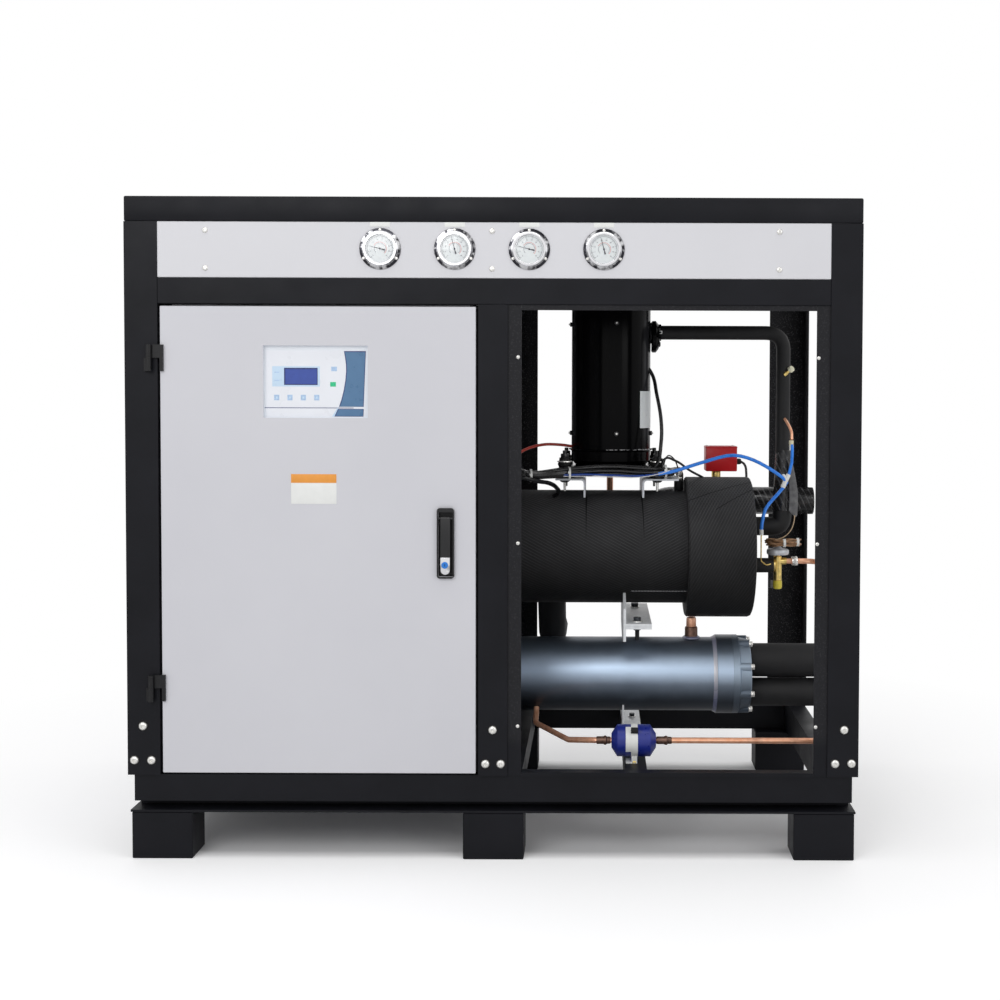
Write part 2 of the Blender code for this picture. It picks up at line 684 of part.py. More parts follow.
def build_controller(face):
    """Control unit behind the window: deep frame seated on the back of the door sheet."""
    back_of_sheet = face + DOOR_SHEET + FIT
    unit = box("controller_unit", (DISPLAY_LEFT - DISPLAY_RIM, DISPLAY_RIGHT + DISPLAY_RIM),
               (back_of_sheet, back_of_sheet + DISPLAY_DEPTH),
               (DISPLAY_BOTTOM - DISPLAY_RIM, DISPLAY_TOP + DISPLAY_RIM),
               WHITE_PLASTIC)
    soften(unit, EDGE_ROUND / 2)
    sunk = box("controller face", (DISPLAY_LEFT, DISPLAY_RIGHT), (face - PAST, face + DISPLAY_SUNK),
               (DISPLAY_BOTTOM, DISPLAY_TOP))
    cut(unit, sunk)
    return unit


def rounded_slot(x, z, radius, steps=5):
    """Outline of an upright plate with round corners, in width and height."""
    points = arc((x[1] - radius, z[1] - radius), radius, 0, 90, steps)
    points += arc((x[0] + radius, z[1] - radius), radius, 90, 180, steps)
    points += arc((x[0] + radius, z[0] + radius), radius, 180, 270, steps)
    points += arc((x[1] - radius, z[0] + radius), radius, 270, 360, steps)
    return points


def build_lock(face):
    """Flush lock body: plate proud of the door and a pocket for the lever."""
    middle = (LOCK_LEFT + LOCK_RIGHT) / 2
    plate = rounded_slot((LOCK_LEFT, LOCK_RIGHT), (LOCK_BOTTOM, LOCK_TOP), LOCK_ROUND)
    body = prism("lock_body", plate, 1, FRONT - LOCK_OUT, face - FIT, BLACK_PLASTIC)
    rear = box("lock rear", (LOCK_LEFT + LOCK_LAP + FIT, LOCK_RIGHT - LOCK_LAP - FIT),
               (face - DOOR_SHEET, face + LOCK_DEPTH),
               (LOCK_BOTTOM + LOCK_END_LAP + FIT, LOCK_TOP - LOCK_END_LAP - FIT))
    half = LEVER_HALF + LEVER_CLEAR
    top = LEVER_PIVOT + LEVER_THICK / 2 + LEVER_CLEAR + LOCK_END_LAP
    bottom = LEVER_PIVOT - LEVER_LENGTH - LEVER_CLEAR
    pocket = box("lock pocket", (middle - half, middle + half),
                 (FRONT - LOCK_OUT - PAST, face + POCKET_DEPTH), (bottom, top))
    add(body, rear)
    cut(body, pocket)
    return body


def build_lever(pivot):
    """Lever whose origin is on its own cross pin: arched back, thinned towards the hand."""
    half = LEVER_THICK / 2
    outline = arc((0.0, 0.0), half, 180, 0, 8)
    outline += [(half, -LEVER_LENGTH + half), (half / 2, -LEVER_LENGTH)]
    outline += [(-half * 0.75, -LEVER_LENGTH), (-half, -LEVER_LENGTH + half * 0.75)]
    lever = prism("lock_lever", outline, 0, -LEVER_HALF, LEVER_HALF, BLACK_PLASTIC)
    soften(lever, EDGE_ROUND * 0.4)
    pin = turned("lever pin", [(LEVER_PIN, -LEVER_HALF - LEVER_CLEAR + FIT),
                               (LEVER_PIN, LEVER_HALF + LEVER_CLEAR - FIT)],
                 (0, 0, 0), (1, 0, 0), sides=16)
    add(lever, pin)
    lever.parent = pivot
    pin.parent = pivot


def build_hinge(name, level):
    """Lift-off hinge: lower knuckle and leaf on the post, upper knuckle and leaf on the door."""
    axis_y = FRONT - BARREL_OUT
    half = LEAF_HEIGHT / 2
    fixed = turned(name + "_post_leaf", [(BARREL_RADIUS, -half), (BARREL_RADIUS, -KNUCKLE_GAP)],
                   (BARREL_X, axis_y, level), (0, 0, 1), BLACK_COAT, sides=20)
    post_leaf = box(name + " post plate", (BARREL_X - BARREL_RADIUS * 2, BARREL_X + BARREL_RADIUS / 3),
                    (FRONT - FIT - LEAF_SHEET * 2, FRONT - FIT), (level - half, level - KNUCKLE_GAP))
    add(fixed, post_leaf)
    moving = turned(name + "_door_leaf", [(BARREL_RADIUS, KNUCKLE_GAP), (BARREL_RADIUS, half)],
                    (BARREL_X, axis_y, level), (0, 0, 1), BLACK_COAT, sides=20)
    plate_out = FRONT - LEAF_LIFT - LEAF_SHEET
    door_plate = box(name + " door plate", (BARREL_X + LEAF_LIFT / 3, BARREL_X + LEAF_REACH - LEAF_LIFT / 3),
                     (plate_out, FRONT - LEAF_LIFT), (level + KNUCKLE_GAP, level + half))
    door_low = box(name + " door flange", (LEFT_FACE + DOOR_GAP + LEAF_LIFT / 3, BARREL_X + LEAF_REACH),
                   (plate_out - FIT, FRONT + DOOR_SET - FIT), (level - half, level + half))
    add(moving, door_plate, door_low)
    return moving


def build_compressor():
    """Upright hermetic compressor with its foot plate, rubber feet and suction service valve."""
    seam = SHEET
    dome = COMP_TOP - COMP_DOME
    proud = COMP_RADIUS + seam
    profile = [(0.0, COMP_BOTTOM), (COMP_RADIUS - GROMMET, COMP_BOTTOM), (COMP_RADIUS, COMP_BOTTOM + GROMMET)]
    profile += [(COMP_RADIUS, COMP_SEAM - seam), (proud, COMP_SEAM), (COMP_RADIUS, COMP_SEAM + seam)]
    profile += [(COMP_RADIUS, dome - seam * 2), (proud, dome - seam), (COMP_RADIUS, dome)]
    for step in range(1, 5):
        angle = math.radians(18 * step)
        profile.append((COMP_RADIUS * math.cos(angle), dome + COMP_DOME * math.sin(angle)))
    profile.append((0.0, COMP_TOP))
    body = turned("compressor", profile, (COMP_X, VESSEL_Y, 0.0), (0, 0, 1), GLOSS_BLACK, sides=36)
    reach_x = COMP_FOOT_X + COMP_PLATE_EDGE
    reach_y = COMP_FOOT_Y + COMP_PLATE_EDGE
    outline = rounded_slot((COMP_X - reach_x, COMP_X + reach_x), (VESSEL_Y - reach_y, VESSEL_Y + reach_y),
                           COMP_PLATE_EDGE, 3)
    add(body, prism("compressor plate", outline, 2, COMP_BOTTOM - BRACKET_SHEET,
                    COMP_BOTTOM + BRACKET_SHEET / 2))
    stud = GROMMET / 2
    for side_x in (-1, 1):
        for side_y in (-1, 1):
            at = (COMP_X + side_x * COMP_FOOT_X, VESSEL_Y + side_y * COMP_FOOT_Y, 0.0)
            rubber = [(GROMMET, BRACKET_TOP + FIT), (GROMMET, COMP_BOTTOM + stud), (stud, COMP_BOTTOM + stud)]
            rubber.append((stud, COMP_BOTTOM + GROMMET + BRACKET_SHEET))
            add(body, turned("compressor foot", rubber, at, (0, 0, 1), sides=12))
    add(body, service_valve())


def service_valve():
    """Flanged valve on the side of the compressor, hung a little below the suction pipe's axis."""
    inside = COMP_RADIUS - SUCTION_VALVE
    outside = COMP_RADIUS + SUCTION_VALVE
    rim = SUCTION_RADIUS * 2.24
    face = outside - SHEET
    profile = [(SUCTION_RADIUS, inside), (SUCTION_RADIUS, COMP_RADIUS + SHEET / 2)]
    profile += [(rim - SHEET, COMP_RADIUS + SHEET / 2), (rim, COMP_RADIUS + SHEET * 1.5)]
    profile += [(rim, COMP_RADIUS + SHEET * 4), (rim * 0.8, COMP_RADIUS + SHEET * 6), (rim * 0.55, face)]
    low = SUCTION_HEIGHT - VALVE_DROP
    valve = turned("service valve", profile, (COMP_X, VESSEL_Y, low), (1, 0, 0), sides=24)
    neck = SUCTION_RADIUS + SHEET
    root = inside + SHEET
    add(valve, turned("valve neck", [(neck, root), (neck, outside)], (COMP_X, VESSEL_Y, SUCTION_HEIGHT),
                      (1, 0, 0), sides=20))
    return valve


def angle_section(plate_end, web, bottom):
    """Section of a bent angle: level plate on top, round bend and upright web."""
    toward = 1 if plate_end > web else -1
    bend = WEB_BEND
    inner = bend - BRACKET_SHEET
    centre = (web + toward * bend, BRACKET_TOP - bend)
    outer_arc = [(centre[0] - toward * math.cos(turn) * bend, centre[1] + math.sin(turn) * bend)
                 for turn in (0.0, math.pi / 6, math.pi / 3, math.pi / 2)]
    inner_arc = [(centre[0] - toward * math.cos(turn) * inner, centre[1] + math.sin(turn) * inner)
                 for turn in (math.pi / 2, math.pi / 4, 0.0)]
    ends = [(web, bottom), (plate_end, BRACKET_TOP), (plate_end, BRACKET_TOP - BRACKET_SHEET)]
    return [ends[0]] + outer_arc + ends[1:] + inner_arc + [(web + toward * BRACKET_SHEET, bottom)]


def build_compressor_brackets():
    """Bent angles of sheet across the evaporator, notched to sit on its shell."""
    front = VESSEL_Y - BRACKET_HALF
    back = VESSEL_Y + BRACKET_HALF
    long = RIGHT_PLATE_END - LEFT_PLATE_END
    for name, plate_end, web in (
        ("compressor_bracket_left", LEFT_PLATE_END, LEFT_WEB),
        ("compressor_bracket_right", RIGHT_PLATE_END, RIGHT_WEB),
    ):
        section = angle_section(plate_end, web, WEB_BOTTOM)
        bracket = prism(name, section, 1, front, back, GALVANISED)
        notch = turned("shell notch", [(EVAP_RADIUS + FIT, 0.0), (EVAP_RADIUS + FIT, long)],
                       (LEFT_PLATE_END, VESSEL_Y, EVAP_HEIGHT), (1, 0, 0), sides=40)
        cut(bracket, notch)


def build_evaporator():
    """Insulated shell, and the head cover with its rounded rim."""
    long = HEAD_LEFT - FIT - EVAP_LEFT
    edge = PIPE_WALL
    profile = [(0.0, 0.0), (EVAP_RADIUS - edge, 0.0), (EVAP_RADIUS - edge * 0.4, edge * 0.4),
               (EVAP_RADIUS, edge)]
    profile += [(EVAP_RADIUS, long), (0.0, long)]
    turned("evaporator_shell", profile, (EVAP_LEFT, VESSEL_Y, EVAP_HEIGHT), (1, 0, 0), FOAM, sides=40)
    long = HEAD_RIGHT - HEAD_LEFT
    cover = [(0.0, 0.0), (HEAD_RADIUS - SHEET, 0.0), (HEAD_RADIUS, SHEET), (HEAD_RADIUS, long - edge / 2)]
    cover += [(HEAD_RADIUS - edge * 0.15, long - edge * 0.15), (HEAD_RADIUS - edge / 2, long)]
    cover.append((0.0, long))
    turned("evaporator_head_cover", cover, (HEAD_LEFT, VESSEL_Y, EVAP_HEIGHT), (1, 0, 0), FOAM, sides=40)


def build_condenser():
    """Painted shell with its flange ring, and the cast head with bosses round it."""
    long = RING_LEFT - COND_LEFT
    thick = CAST_LEFT - FIT - RING_LEFT
    edge = PIPE_WALL
    profile = [(0.0, 0.0), (COND_RADIUS - edge, 0.0), (COND_RADIUS - edge * 0.3, edge * 0.5),
               (COND_RADIUS, edge)]
    profile += [(COND_RADIUS, long), (RING_RADIUS - FIT * 3, long), (RING_RADIUS, long + FIT * 3)]
    profile += [(RING_RADIUS, long + thick), (0.0, long + thick)]
    turned("condenser_shell", profile, (COND_LEFT, VESSEL_Y, COND_HEIGHT), (1, 0, 0), STEEL_BLUE, sides=40)
    cast = CAST_RIGHT - CAST_LEFT
    head = [(0.0, 0.0), (RING_RADIUS, 0.0), (RING_RADIUS, cast / 3), (RING_RADIUS - cast / 7, cast * 0.42)]
    head += [(RING_RADIUS - cast / 4, cast - SHEET), (RING_RADIUS - cast / 4 - SHEET, cast), (0.0, cast)]
    body = turned("condenser_head", head, (CAST_LEFT, VESSEL_Y, COND_HEIGHT), (1, 0, 0), STEEL_BLUE, sides=40)
    boss = cast * 0.22
    reach = RING_RADIUS - boss
    for step in range(CAST_BOSSES):
        angle = 2 * math.pi * (step + 0.5) / CAST_BOSSES
        at = (CAST_LEFT + boss, VESSEL_Y + reach * math.cos(angle), COND_HEIGHT + reach * math.sin(angle))
        add(body, turned("head boss", [(boss, 0.0), (boss, cast - boss - SHEET)], at, (1, 0, 0), sides=12))


def pipe_bore(name, radius, end, direction):
    return turned(name, [(radius - PIPE_WALL, -PIPE_BORE), (radius - PIPE_WALL, PAST)], end, direction,
                  sides=28)


def build_water_pipes():
    """Two cooling-water pipes on the condenser and two chilled-water pipes on the evaporator."""
    start = CAST_RIGHT + FIT
    long = RIGHT - start
    for name, level, radius in (
        ("cooling_pipe_upper", UPPER_PIPE_HEIGHT, UPPER_PIPE_RADIUS),
        ("cooling_pipe_lower", LOWER_PIPE_HEIGHT, LOWER_PIPE_RADIUS),
    ):
        inner = radius - PIPE_WALL
        profile = [(radius, 0.0), (radius, long), (inner, long), (inner, long - PIPE_BORE),
                   (0.0, long - PIPE_BORE)]
        turned(name, profile, (start, VESSEL_Y, level), (1, 0, 0), FOAM, sides=32)
    centre = Vector((CHILLED_START, VESSEL_Y, EVAP_HEIGHT))
    outward = Vector((0.0, CHILLED_Y - VESSEL_Y, CHILLED_HEIGHT - EVAP_HEIGHT)).normalized()
    end = (RIGHT, CHILLED_Y, CHILLED_HEIGHT)
    route = [centre + outward * (EVAP_RADIUS + FIT), (CHILLED_START, CHILLED_Y, CHILLED_HEIGHT), end]
    pipe = as_mesh(tube("chilled_water_pipe", filleted(route, CHILLED_RADIUS * 1.1, 8), CHILLED_RADIUS,
                        FOAM, 5))
    cut(pipe, pipe_bore("chilled bore", CHILLED_RADIUS, end, (1, 0, 0)))
    slope = math.radians(RETURN_SLOPE)
    centre = Vector((RETURN_X, VESSEL_Y, EVAP_HEIGHT))
    outward = Vector((0.0, math.cos(slope), -math.sin(slope)))
    drop = (EVAP_HEIGHT - RETURN_HEIGHT) / math.sin(slope)
    end = (RETURN_X, BACK, RETURN_HEIGHT)
    route = [centre + outward * (EVAP_RADIUS + FIT), centre + outward * drop, end]
    pipe = as_mesh(tube("chilled_return_pipe", filleted(route, CHILLED_RADIUS * 1.5, 6), CHILLED_RADIUS,
                        FOAM, 4))
    cut(pipe, pipe_bore("return bore", CHILLED_RADIUS, end, (0, 1, 0)))


def build_flow_switch():
    """Red switch box on a brass hexagon that stands on the chilled-water pipe."""
    low = CHILLED_HEIGHT + CHILLED_RADIUS - FIT / 2
    neck = HEXAGON * 0.6
    profile = [(HEXAGON, low), (HEXAGON, low + HEXAGON), (neck, low + HEXAGON),
               (neck, low + SWITCH_LOW + HEXAGON / 2)]
    body = turned("flow_switch", profile, (SWITCH_X - HEXAGON_SHIFT, CHILLED_Y, 0.0), (0, 0, 1),
                  RED_PLASTIC, sides=6)
    case = box("switch case", (SWITCH_X - SWITCH_HALF, SWITCH_X + SWITCH_HALF),
               (CHILLED_Y - SWITCH_DEPTH, CHILLED_Y + SWITCH_DEPTH),
               (low + SWITCH_LOW, low + SWITCH_LOW + SWITCH_TALL))
    soften(case, EDGE_ROUND * 1.5, 2)
    add(body, case)


def build_suction_pipe():
    """Foam-covered pipe over the bay and its thicker elbow into the head cover."""
    start = COMP_X + COMP_RADIUS + SUCTION_VALVE + FIT
    route = [(start, VESSEL_Y, SUCTION_HEIGHT), (SUCTION_X, VESSEL_Y, SUCTION_HEIGHT),
             (SUCTION_X, VESSEL_Y, ELBOW_TOP + FIT)]
    tube("suction_pipe", filleted(route, SUCTION_BEND, 8), SUCTION_RADIUS, FOAM, 5)
    route = [(SUCTION_X, VESSEL_Y, ELBOW_TOP), (SUCTION_X, VESSEL_Y, ELBOW_HEIGHT),
             (HEAD_RIGHT + FIT, VESSEL_Y, ELBOW_HEIGHT)]
    tube("suction_elbow", filleted(route, ELBOW_RADIUS * 1.6, 6), ELBOW_RADIUS, FOAM, 5)


def build_discharge_line():
    """Hot-gas line from behind the compressor, down behind the evaporator and forward onto the condenser."""
    out = VESSEL_Y + DISCHARGE_OUT
    level = COMP_SEAM + COMP_RADIUS / 2
    route = [(COMP_X, VESSEL_Y + COMP_RADIUS + FIT, level), (COMP_X, out, level),
             (COMP_X, out, DISCHARGE_LEVEL)]
    route += [(DISCHARGE_DOWN_X, out, DISCHARGE_LEVEL), (DISCHARGE_DOWN_X, out, DISCHARGE_LOW)]
    route += [(DISCHARGE_X, VESSEL_Y, DISCHARGE_LOW), (DISCHARGE_X, VESSEL_Y,
                                                       COND_HEIGHT + COND_RADIUS + FIT)]
    tube("discharge_line", filleted(route, DISCHARGE_BEND, 5), DISCHARGE_RADIUS, COPPER, 2)


def build_expansion_valve():
    """Brass valve with its power head, thick outlet stub and thin equalising line to the blue hose."""
    at = (VALVE_X, VALVE_Y, VALVE_HEIGHT)
    profile = [(0.0065, -0.060), (0.0075, -0.058), (0.0075, -0.040), (VALVE_BODY, -0.039),
               (VALVE_BODY, 0.016)]
    profile += [(0.006, 0.017), (0.006, 0.021), (0.0225, 0.022), (0.0243, 0.025), (0.0225, 0.028),
                (0.009, 0.032)]
    profile.append((0.0, 0.032))
    body = turned("expansion_valve", profile, at, (0, 0, 1), BRASS, sides=20)
    low = (VALVE_X, VALVE_Y, VALVE_HEIGHT - VALVE_SHIFT)
    high = (VALVE_X, VALVE_Y, VALVE_HEIGHT + VALVE_SHIFT)
    stub = turned("valve outlet", [(VALVE_OUTLET, VALVE_BODY / 2),
                                   (VALVE_OUTLET, VALVE_X - HEAD_RIGHT - FIT)],
                  low, (-1, 0, 0), sides=16)
    inlet = turned("valve inlet", [(VALVE_BODY * 0.9, 0.0), (VALVE_BODY * 0.9, VALVE_INLET)], high,
                   (1, 0, 0), sides=16)
    line = [(HOSE_X, HOSE_Y, HOSE_HEIGHT - FIT), (HOSE_X, HOSE_Y, HOSE_HEIGHT - 0.040)]
    line += [(HOSE_X + 0.001, HOSE_Y + 0.010, VALVE_HEIGHT + 0.010)]
    line += [(VALVE_X - 0.030, VALVE_Y - 0.022, VALVE_HEIGHT - 0.002),
             (VALVE_X, VALVE_Y - 0.004, VALVE_HEIGHT + 0.003)]
    add(body, stub, inlet, as_mesh(tube("equalising line", filleted(line, 0.012, 3), CAPILLARY, None, 1)))


def build_liquid_line():
    """Copper line from the condenser through the drier to the expansion valve."""
    outward = Vector((0.0, -0.587, -0.809)).normalized()
    centre = Vector((RETURN_X * 0.7035, VESSEL_Y, COND_HEIGHT))
    entry = [centre + outward * (COND_RADIUS + FIT), centre + outward * (COND_RADIUS + LIQUID_RADIUS * 2)]
    run = VESSEL_Y - DRIER_Y
    entry += [(centre.x, DRIER_Y + run * 0.667, DRIER_HEIGHT - 0.0125),
              ((centre.x + DRIER_LEFT) / 2 - 0.008, DRIER_Y + run * 0.233, DRIER_HEIGHT - 0.0175)]
    entry += [(DRIER_LEFT - 0.040, DRIER_Y, DRIER_HEIGHT), (DRIER_LEFT - FIT, DRIER_Y, DRIER_HEIGHT)]
    tube("liquid_line_lower", filleted(entry, 0.040, 5), LIQUID_RADIUS, COPPER, 3)
    level = VALVE_HEIGHT + VALVE_SHIFT
    rise = [(DRIER_RIGHT + FIT, DRIER_Y, DRIER_HEIGHT), (RISER_X, DRIER_Y, DRIER_HEIGHT),
            (RISER_X, DRIER_Y, level)]
    rise += [(RISER_X, VALVE_Y, level), (VALVE_X + VALVE_INLET + FIT, VALVE_Y, level)]
    tube("liquid_line_upper", filleted(rise, 0.030, 6), LIQUID_RADIUS, COPPER, 3)


def build_drier():
    """Filter drier with coned ends, lying on the cross rail in its strap."""
    long = DRIER_RIGHT - DRIER_LEFT
    profile = [(0.0, 0.0), (DRIER_END, 0.0), (DRIER_RADIUS - FIT * 2, DRIER_CONE),
               (DRIER_RADIUS, DRIER_CONE + FIT * 2)]
    profile += [(radius, long - height) for radius, height in reversed(profile)]
    body = turned("filter_drier", profile, (DRIER_LEFT, DRIER_Y, DRIER_HEIGHT), (1, 0, 0), DEEP_BLUE,
                  sides=32)
    half = DRIER_RADIUS * 0.6
    foot = box("drier foot", (STRAP_X - STRAP_HALF, STRAP_X + STRAP_HALF), (DRIER_Y - half, DRIER_Y + half),
               (BASE_TOP + FIT, DRIER_HEIGHT - half))
    band = DRIER_RADIUS + EDGE_ROUND / 2
    strap = turned("drier strap", [(band, -STRAP_HALF), (band, STRAP_HALF)], (STRAP_X, DRIER_Y, DRIER_HEIGHT),
                   (1, 0, 0), sides=32)
    add(body, foot, strap)


def seat_outline(centre_z, radius, plate_z, half, tall):
    """Web between a level plate and the side of a round vessel, with an upright end of a given height."""
    spread = math.degrees(math.asin(half / (radius + FIT)))
    below = plate_z < centre_z
    facing = 270 if below else 90
    out = PLATE_HALF if tall else half
    shoulder = plate_z + (tall if below else -tall)
    ends = [(VESSEL_Y + out, shoulder), (VESSEL_Y + out, plate_z)]
    ends += [(VESSEL_Y - out, plate_z), (VESSEL_Y - out, shoulder)]
    if not tall:
        ends = ends[1:3]
    if not below:
        ends.reverse()
    return ends + arc((VESSEL_Y, centre_z), radius + FIT, facing - spread, facing + spread, 12)


def build_seat(name, web_x, vessel, plate_z, thick, flange):
    """Bracket: upright web seated on a vessel, bent out into a level plate."""
    centre_z, radius, half, tall = vessel
    outline = seat_outline(centre_z, radius, plate_z, half, tall)
    seat = prism(name, outline, 0, web_x, web_x + abs(thick), GALVANISED)
    across = (VESSEL_Y - PLATE_HALF, VESSEL_Y + PLATE_HALF)
    levels = tuple(sorted((plate_z, plate_z + thick)))
    add(seat, box(name + " plate", (web_x, web_x + flange), across, levels))


def build_vessel_brackets():
    """Brackets under the condenser, over it, and under the evaporator, at both ends."""
    upper = (EVAP_HEIGHT, EVAP_RADIUS, UPPER_SEAT_HALF, UPPER_WEB_TALL)
    saddle = (COND_HEIGHT, COND_RADIUS, SADDLE_SEAT_HALF, SADDLE_WEB_TALL)
    leg = (COND_HEIGHT, COND_RADIUS, LOWER_SEAT_HALF, 0.0)
    for side, web_x in (("left", CROSS_LEFT), ("right", CROSS_RIGHT)):
        build_seat("condenser_leg_" + side, web_x, leg, BASE_TOP + FIT, BRACKET_SHEET, LEG_FLANGE)
        build_seat("condenser_bracket_" + side, web_x, saddle, BRACKET_PLANE, -SADDLE_SHEET, UPPER_FLANGE)
        build_seat("evaporator_bracket_" + side, web_x, upper, BRACKET_PLANE + FIT, SADDLE_SHEET,
                   UPPER_FLANGE)


def beside(x, off, z):
    """A place given by its distance behind the vessels' plane."""
    return (x, VESSEL_Y + off, z)


def build_cables():
    """Cable bundle from the cabinet to the evaporator's sensor, and the forked blue hose over it."""
    level = BRACKET_TOP + 0.0142
    passing = -BRACKET_HALF - CABLE_RADIUS * 2
    entry = FRONT + CABINET_BACK - 0.105
    bundle = [(CABINET_RIGHT + FIT, entry, level + 0.011), (CABINET_RIGHT + 0.025, entry, level + 0.011)]
    bundle.append(beside((COMP_X - COMP_FOOT_X) / 2, passing - 0.060, level - 0.003))
    bundle += [beside(COMP_X - COMP_RADIUS, passing - 0.004, level), beside(COMP_X, passing, level + 0.004)]
    bundle.append(beside(COMP_X + COMP_RADIUS, passing - 0.002, level))
    bundle += [beside(COMP_X + COMP_RADIUS + 0.036, passing + 0.002, level),
               beside(SENSOR_X - 0.026, passing + 0.035, level), beside(SENSOR_X - 0.0275, -0.020, level - 0.002)]
    lying = math.sqrt(EVAP_RADIUS ** 2 - (SENSOR_BACK - CABLE_RADIUS) ** 2)
    bundle += [beside(SENSOR_X - 0.003, SENSOR_BACK - 0.006, level - 0.001),
               beside(SENSOR_X, SENSOR_BACK, level - 0.009)]
    bundle.append(beside(SENSOR_X, SENSOR_BACK, EVAP_HEIGHT + lying + FIT))
    tube("cable_bundle", flowing(bundle, 0.018), CABLE_RADIUS, BLACK_PLASTIC, 2)
    hose = [beside(COMP_X + COMP_FOOT_X, passing - 0.0155, level - 0.001)]
    hose += [beside(HEAD_LEFT - 0.0315, passing - 0.012, level + 0.006),
             beside(HEAD_LEFT + 0.0317, passing, level + 0.025)]
    hose += [beside((HEAD_LEFT + HEAD_RIGHT) / 2 + 0.0156, passing + 0.015, level + 0.040),
             beside(HEAD_RIGHT - 0.0187, passing + 0.025, level + 0.035),
             beside(HEAD_RIGHT + 0.0281, passing + 0.040, level + 0.014)]
    hose += [beside(SUCTION_X, passing + 0.060, level - 0.020),
             beside(SUCTION_X - 0.0069, passing + 0.062, level - 0.037),
             beside(SUCTION_X - 0.0307, passing + 0.060, level - 0.064)]
    hose += [(HOSE_X + 0.009, HOSE_Y + 0.005, HOSE_HEIGHT + 0.056), (HOSE_X, HOSE_Y, HOSE_HEIGHT + 0.016)]
    hose.append((HOSE_X, HOSE_Y, HOSE_HEIGHT))
    main = as_mesh(tube("blue_hose", flowing(hose, 0.016), HOSE_RADIUS, HOSE_BLUE, 2))
    fork = [beside(SUCTION_X - 0.0020, passing + 0.061, level - 0.022),
            beside(SUCTION_X + 0.0063, passing + 0.064, level - 0.010)]
    fork += [beside(SUCTION_X + 0.0140, passing + 0.066, level + 0.022),
             beside(SUCTION_X + 0.0154, passing + 0.068, level + 0.054)]
    fork.append(beside(SUCTION_X + 0.0130, passing + 0.072, level + 0.070))
    add(main, as_mesh(tube("hose fork", filleted(fork, 0.030, 3), HOSE_RADIUS * 0.9, None, 2)))


def new_pivot(name, at):
    pivot = bpy.data.objects.new(name, None)
    SCENE.collection.objects.link(pivot)
    pivot.location = at
    return pivot


def build():
    clear_scene()
    build_posts()
    build_base()
    build_top()
    build_front_rail()
    build_gauge_panel()
    build_panels()
    build_cabinet()
    door_pivot = new_pivot("door pivot", (BARREL_X, FRONT - BARREL_OUT, 0.0))
    build_door(door_pivot)
    lever_y = FRONT - LOCK_OUT - LEVER_OUT + LEVER_THICK / 2
    lever_pivot = new_pivot("lever pivot", ((LOCK_LEFT + LOCK_RIGHT) / 2, lever_y, LEVER_PIVOT))
    build_lever(lever_pivot)
    hang_on(lever_pivot, door_pivot)
    build_compressor()
    build_compressor_brackets()
    build_evaporator()
    build_condenser()
    build_water_pipes()
    build_flow_switch()
    build_suction_pipe()
    build_discharge_line()
    build_expansion_valve()
    build_liquid_line()
    build_drier()
    build_vessel_brackets()
    build_cables()


build()
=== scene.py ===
"""Dressed model of the box chiller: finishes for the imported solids, small fittings, studio and camera."""
import json
import math

import bmesh
import bpy
from mathutils import Matrix, Vector


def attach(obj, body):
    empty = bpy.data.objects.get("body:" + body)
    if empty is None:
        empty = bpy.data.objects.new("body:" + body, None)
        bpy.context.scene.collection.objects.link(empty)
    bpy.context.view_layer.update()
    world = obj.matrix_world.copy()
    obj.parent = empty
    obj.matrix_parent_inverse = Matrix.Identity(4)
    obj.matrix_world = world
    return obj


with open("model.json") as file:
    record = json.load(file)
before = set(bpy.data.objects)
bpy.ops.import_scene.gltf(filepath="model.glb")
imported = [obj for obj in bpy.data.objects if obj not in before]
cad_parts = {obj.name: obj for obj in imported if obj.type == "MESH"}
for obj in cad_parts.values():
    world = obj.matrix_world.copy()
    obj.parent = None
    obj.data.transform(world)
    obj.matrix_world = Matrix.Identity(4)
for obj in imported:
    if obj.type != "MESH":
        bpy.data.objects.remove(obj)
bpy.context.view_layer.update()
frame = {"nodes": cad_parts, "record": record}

# Places shared with the solids, in metres
FRONT = -0.36775
VESSEL_DEPTH = 0.42
VESSEL_Y = FRONT + VESSEL_DEPTH
CHILLED_DEPTH = 0.61
CHILLED_Y = FRONT + CHILLED_DEPTH
EVAP_HEIGHT = 0.6017
EVAP_RADIUS = 0.1323
HEAD_RADIUS = 0.1642
HEAD_RIGHT = 0.5711
COND_HEIGHT = 0.2999
COND_RADIUS = 0.0858
RING_RADIUS = 0.0918
COMP_X = 0.2436
COMP_RADIUS = 0.0925
COMP_FOOT = (0.106, 0.085)
BRACKET_TOP = 0.7668
PLATE_TOP = 0.4428
PLATE_UNDER = 0.4305
SUCTION_HEIGHT = 1.1043
SUCTION_RADIUS = 0.0166
DRIER_Y = FRONT + 0.12
DRIER_HEIGHT = 0.2185
DRIER_RADIUS = 0.0338
STRAP_X = 0.2928
SWITCH_X = 0.5196
VALVE_X = 0.6357
VALVE_DEPTH = 0.4
VALVE_Y = FRONT + VALVE_DEPTH
VALVE_HEIGHT = 0.565
GAUGE_PITCH = 0.1513
GAUGE_MIDDLE = -0.003
GAUGE_HEIGHT = 1.2523
DIAL_FACE = FRONT - 0.0035
DOOR_FACE = FRONT + 0.0005
UNIT_FACE = FRONT + 0.0095
GRID_STEPS = 6395.2
QUILT_PITCH = 0.0072

# Camera at the photograph's place
CAMERA_BEFORE = 2.7
CAMERA_X = 0.2111
CAMERA_HEIGHT = 0.9577
LENS = 47.754
PITCH = math.radians(1.88)
ROLL = 0.0034


# Finishes

FINISHES = {}


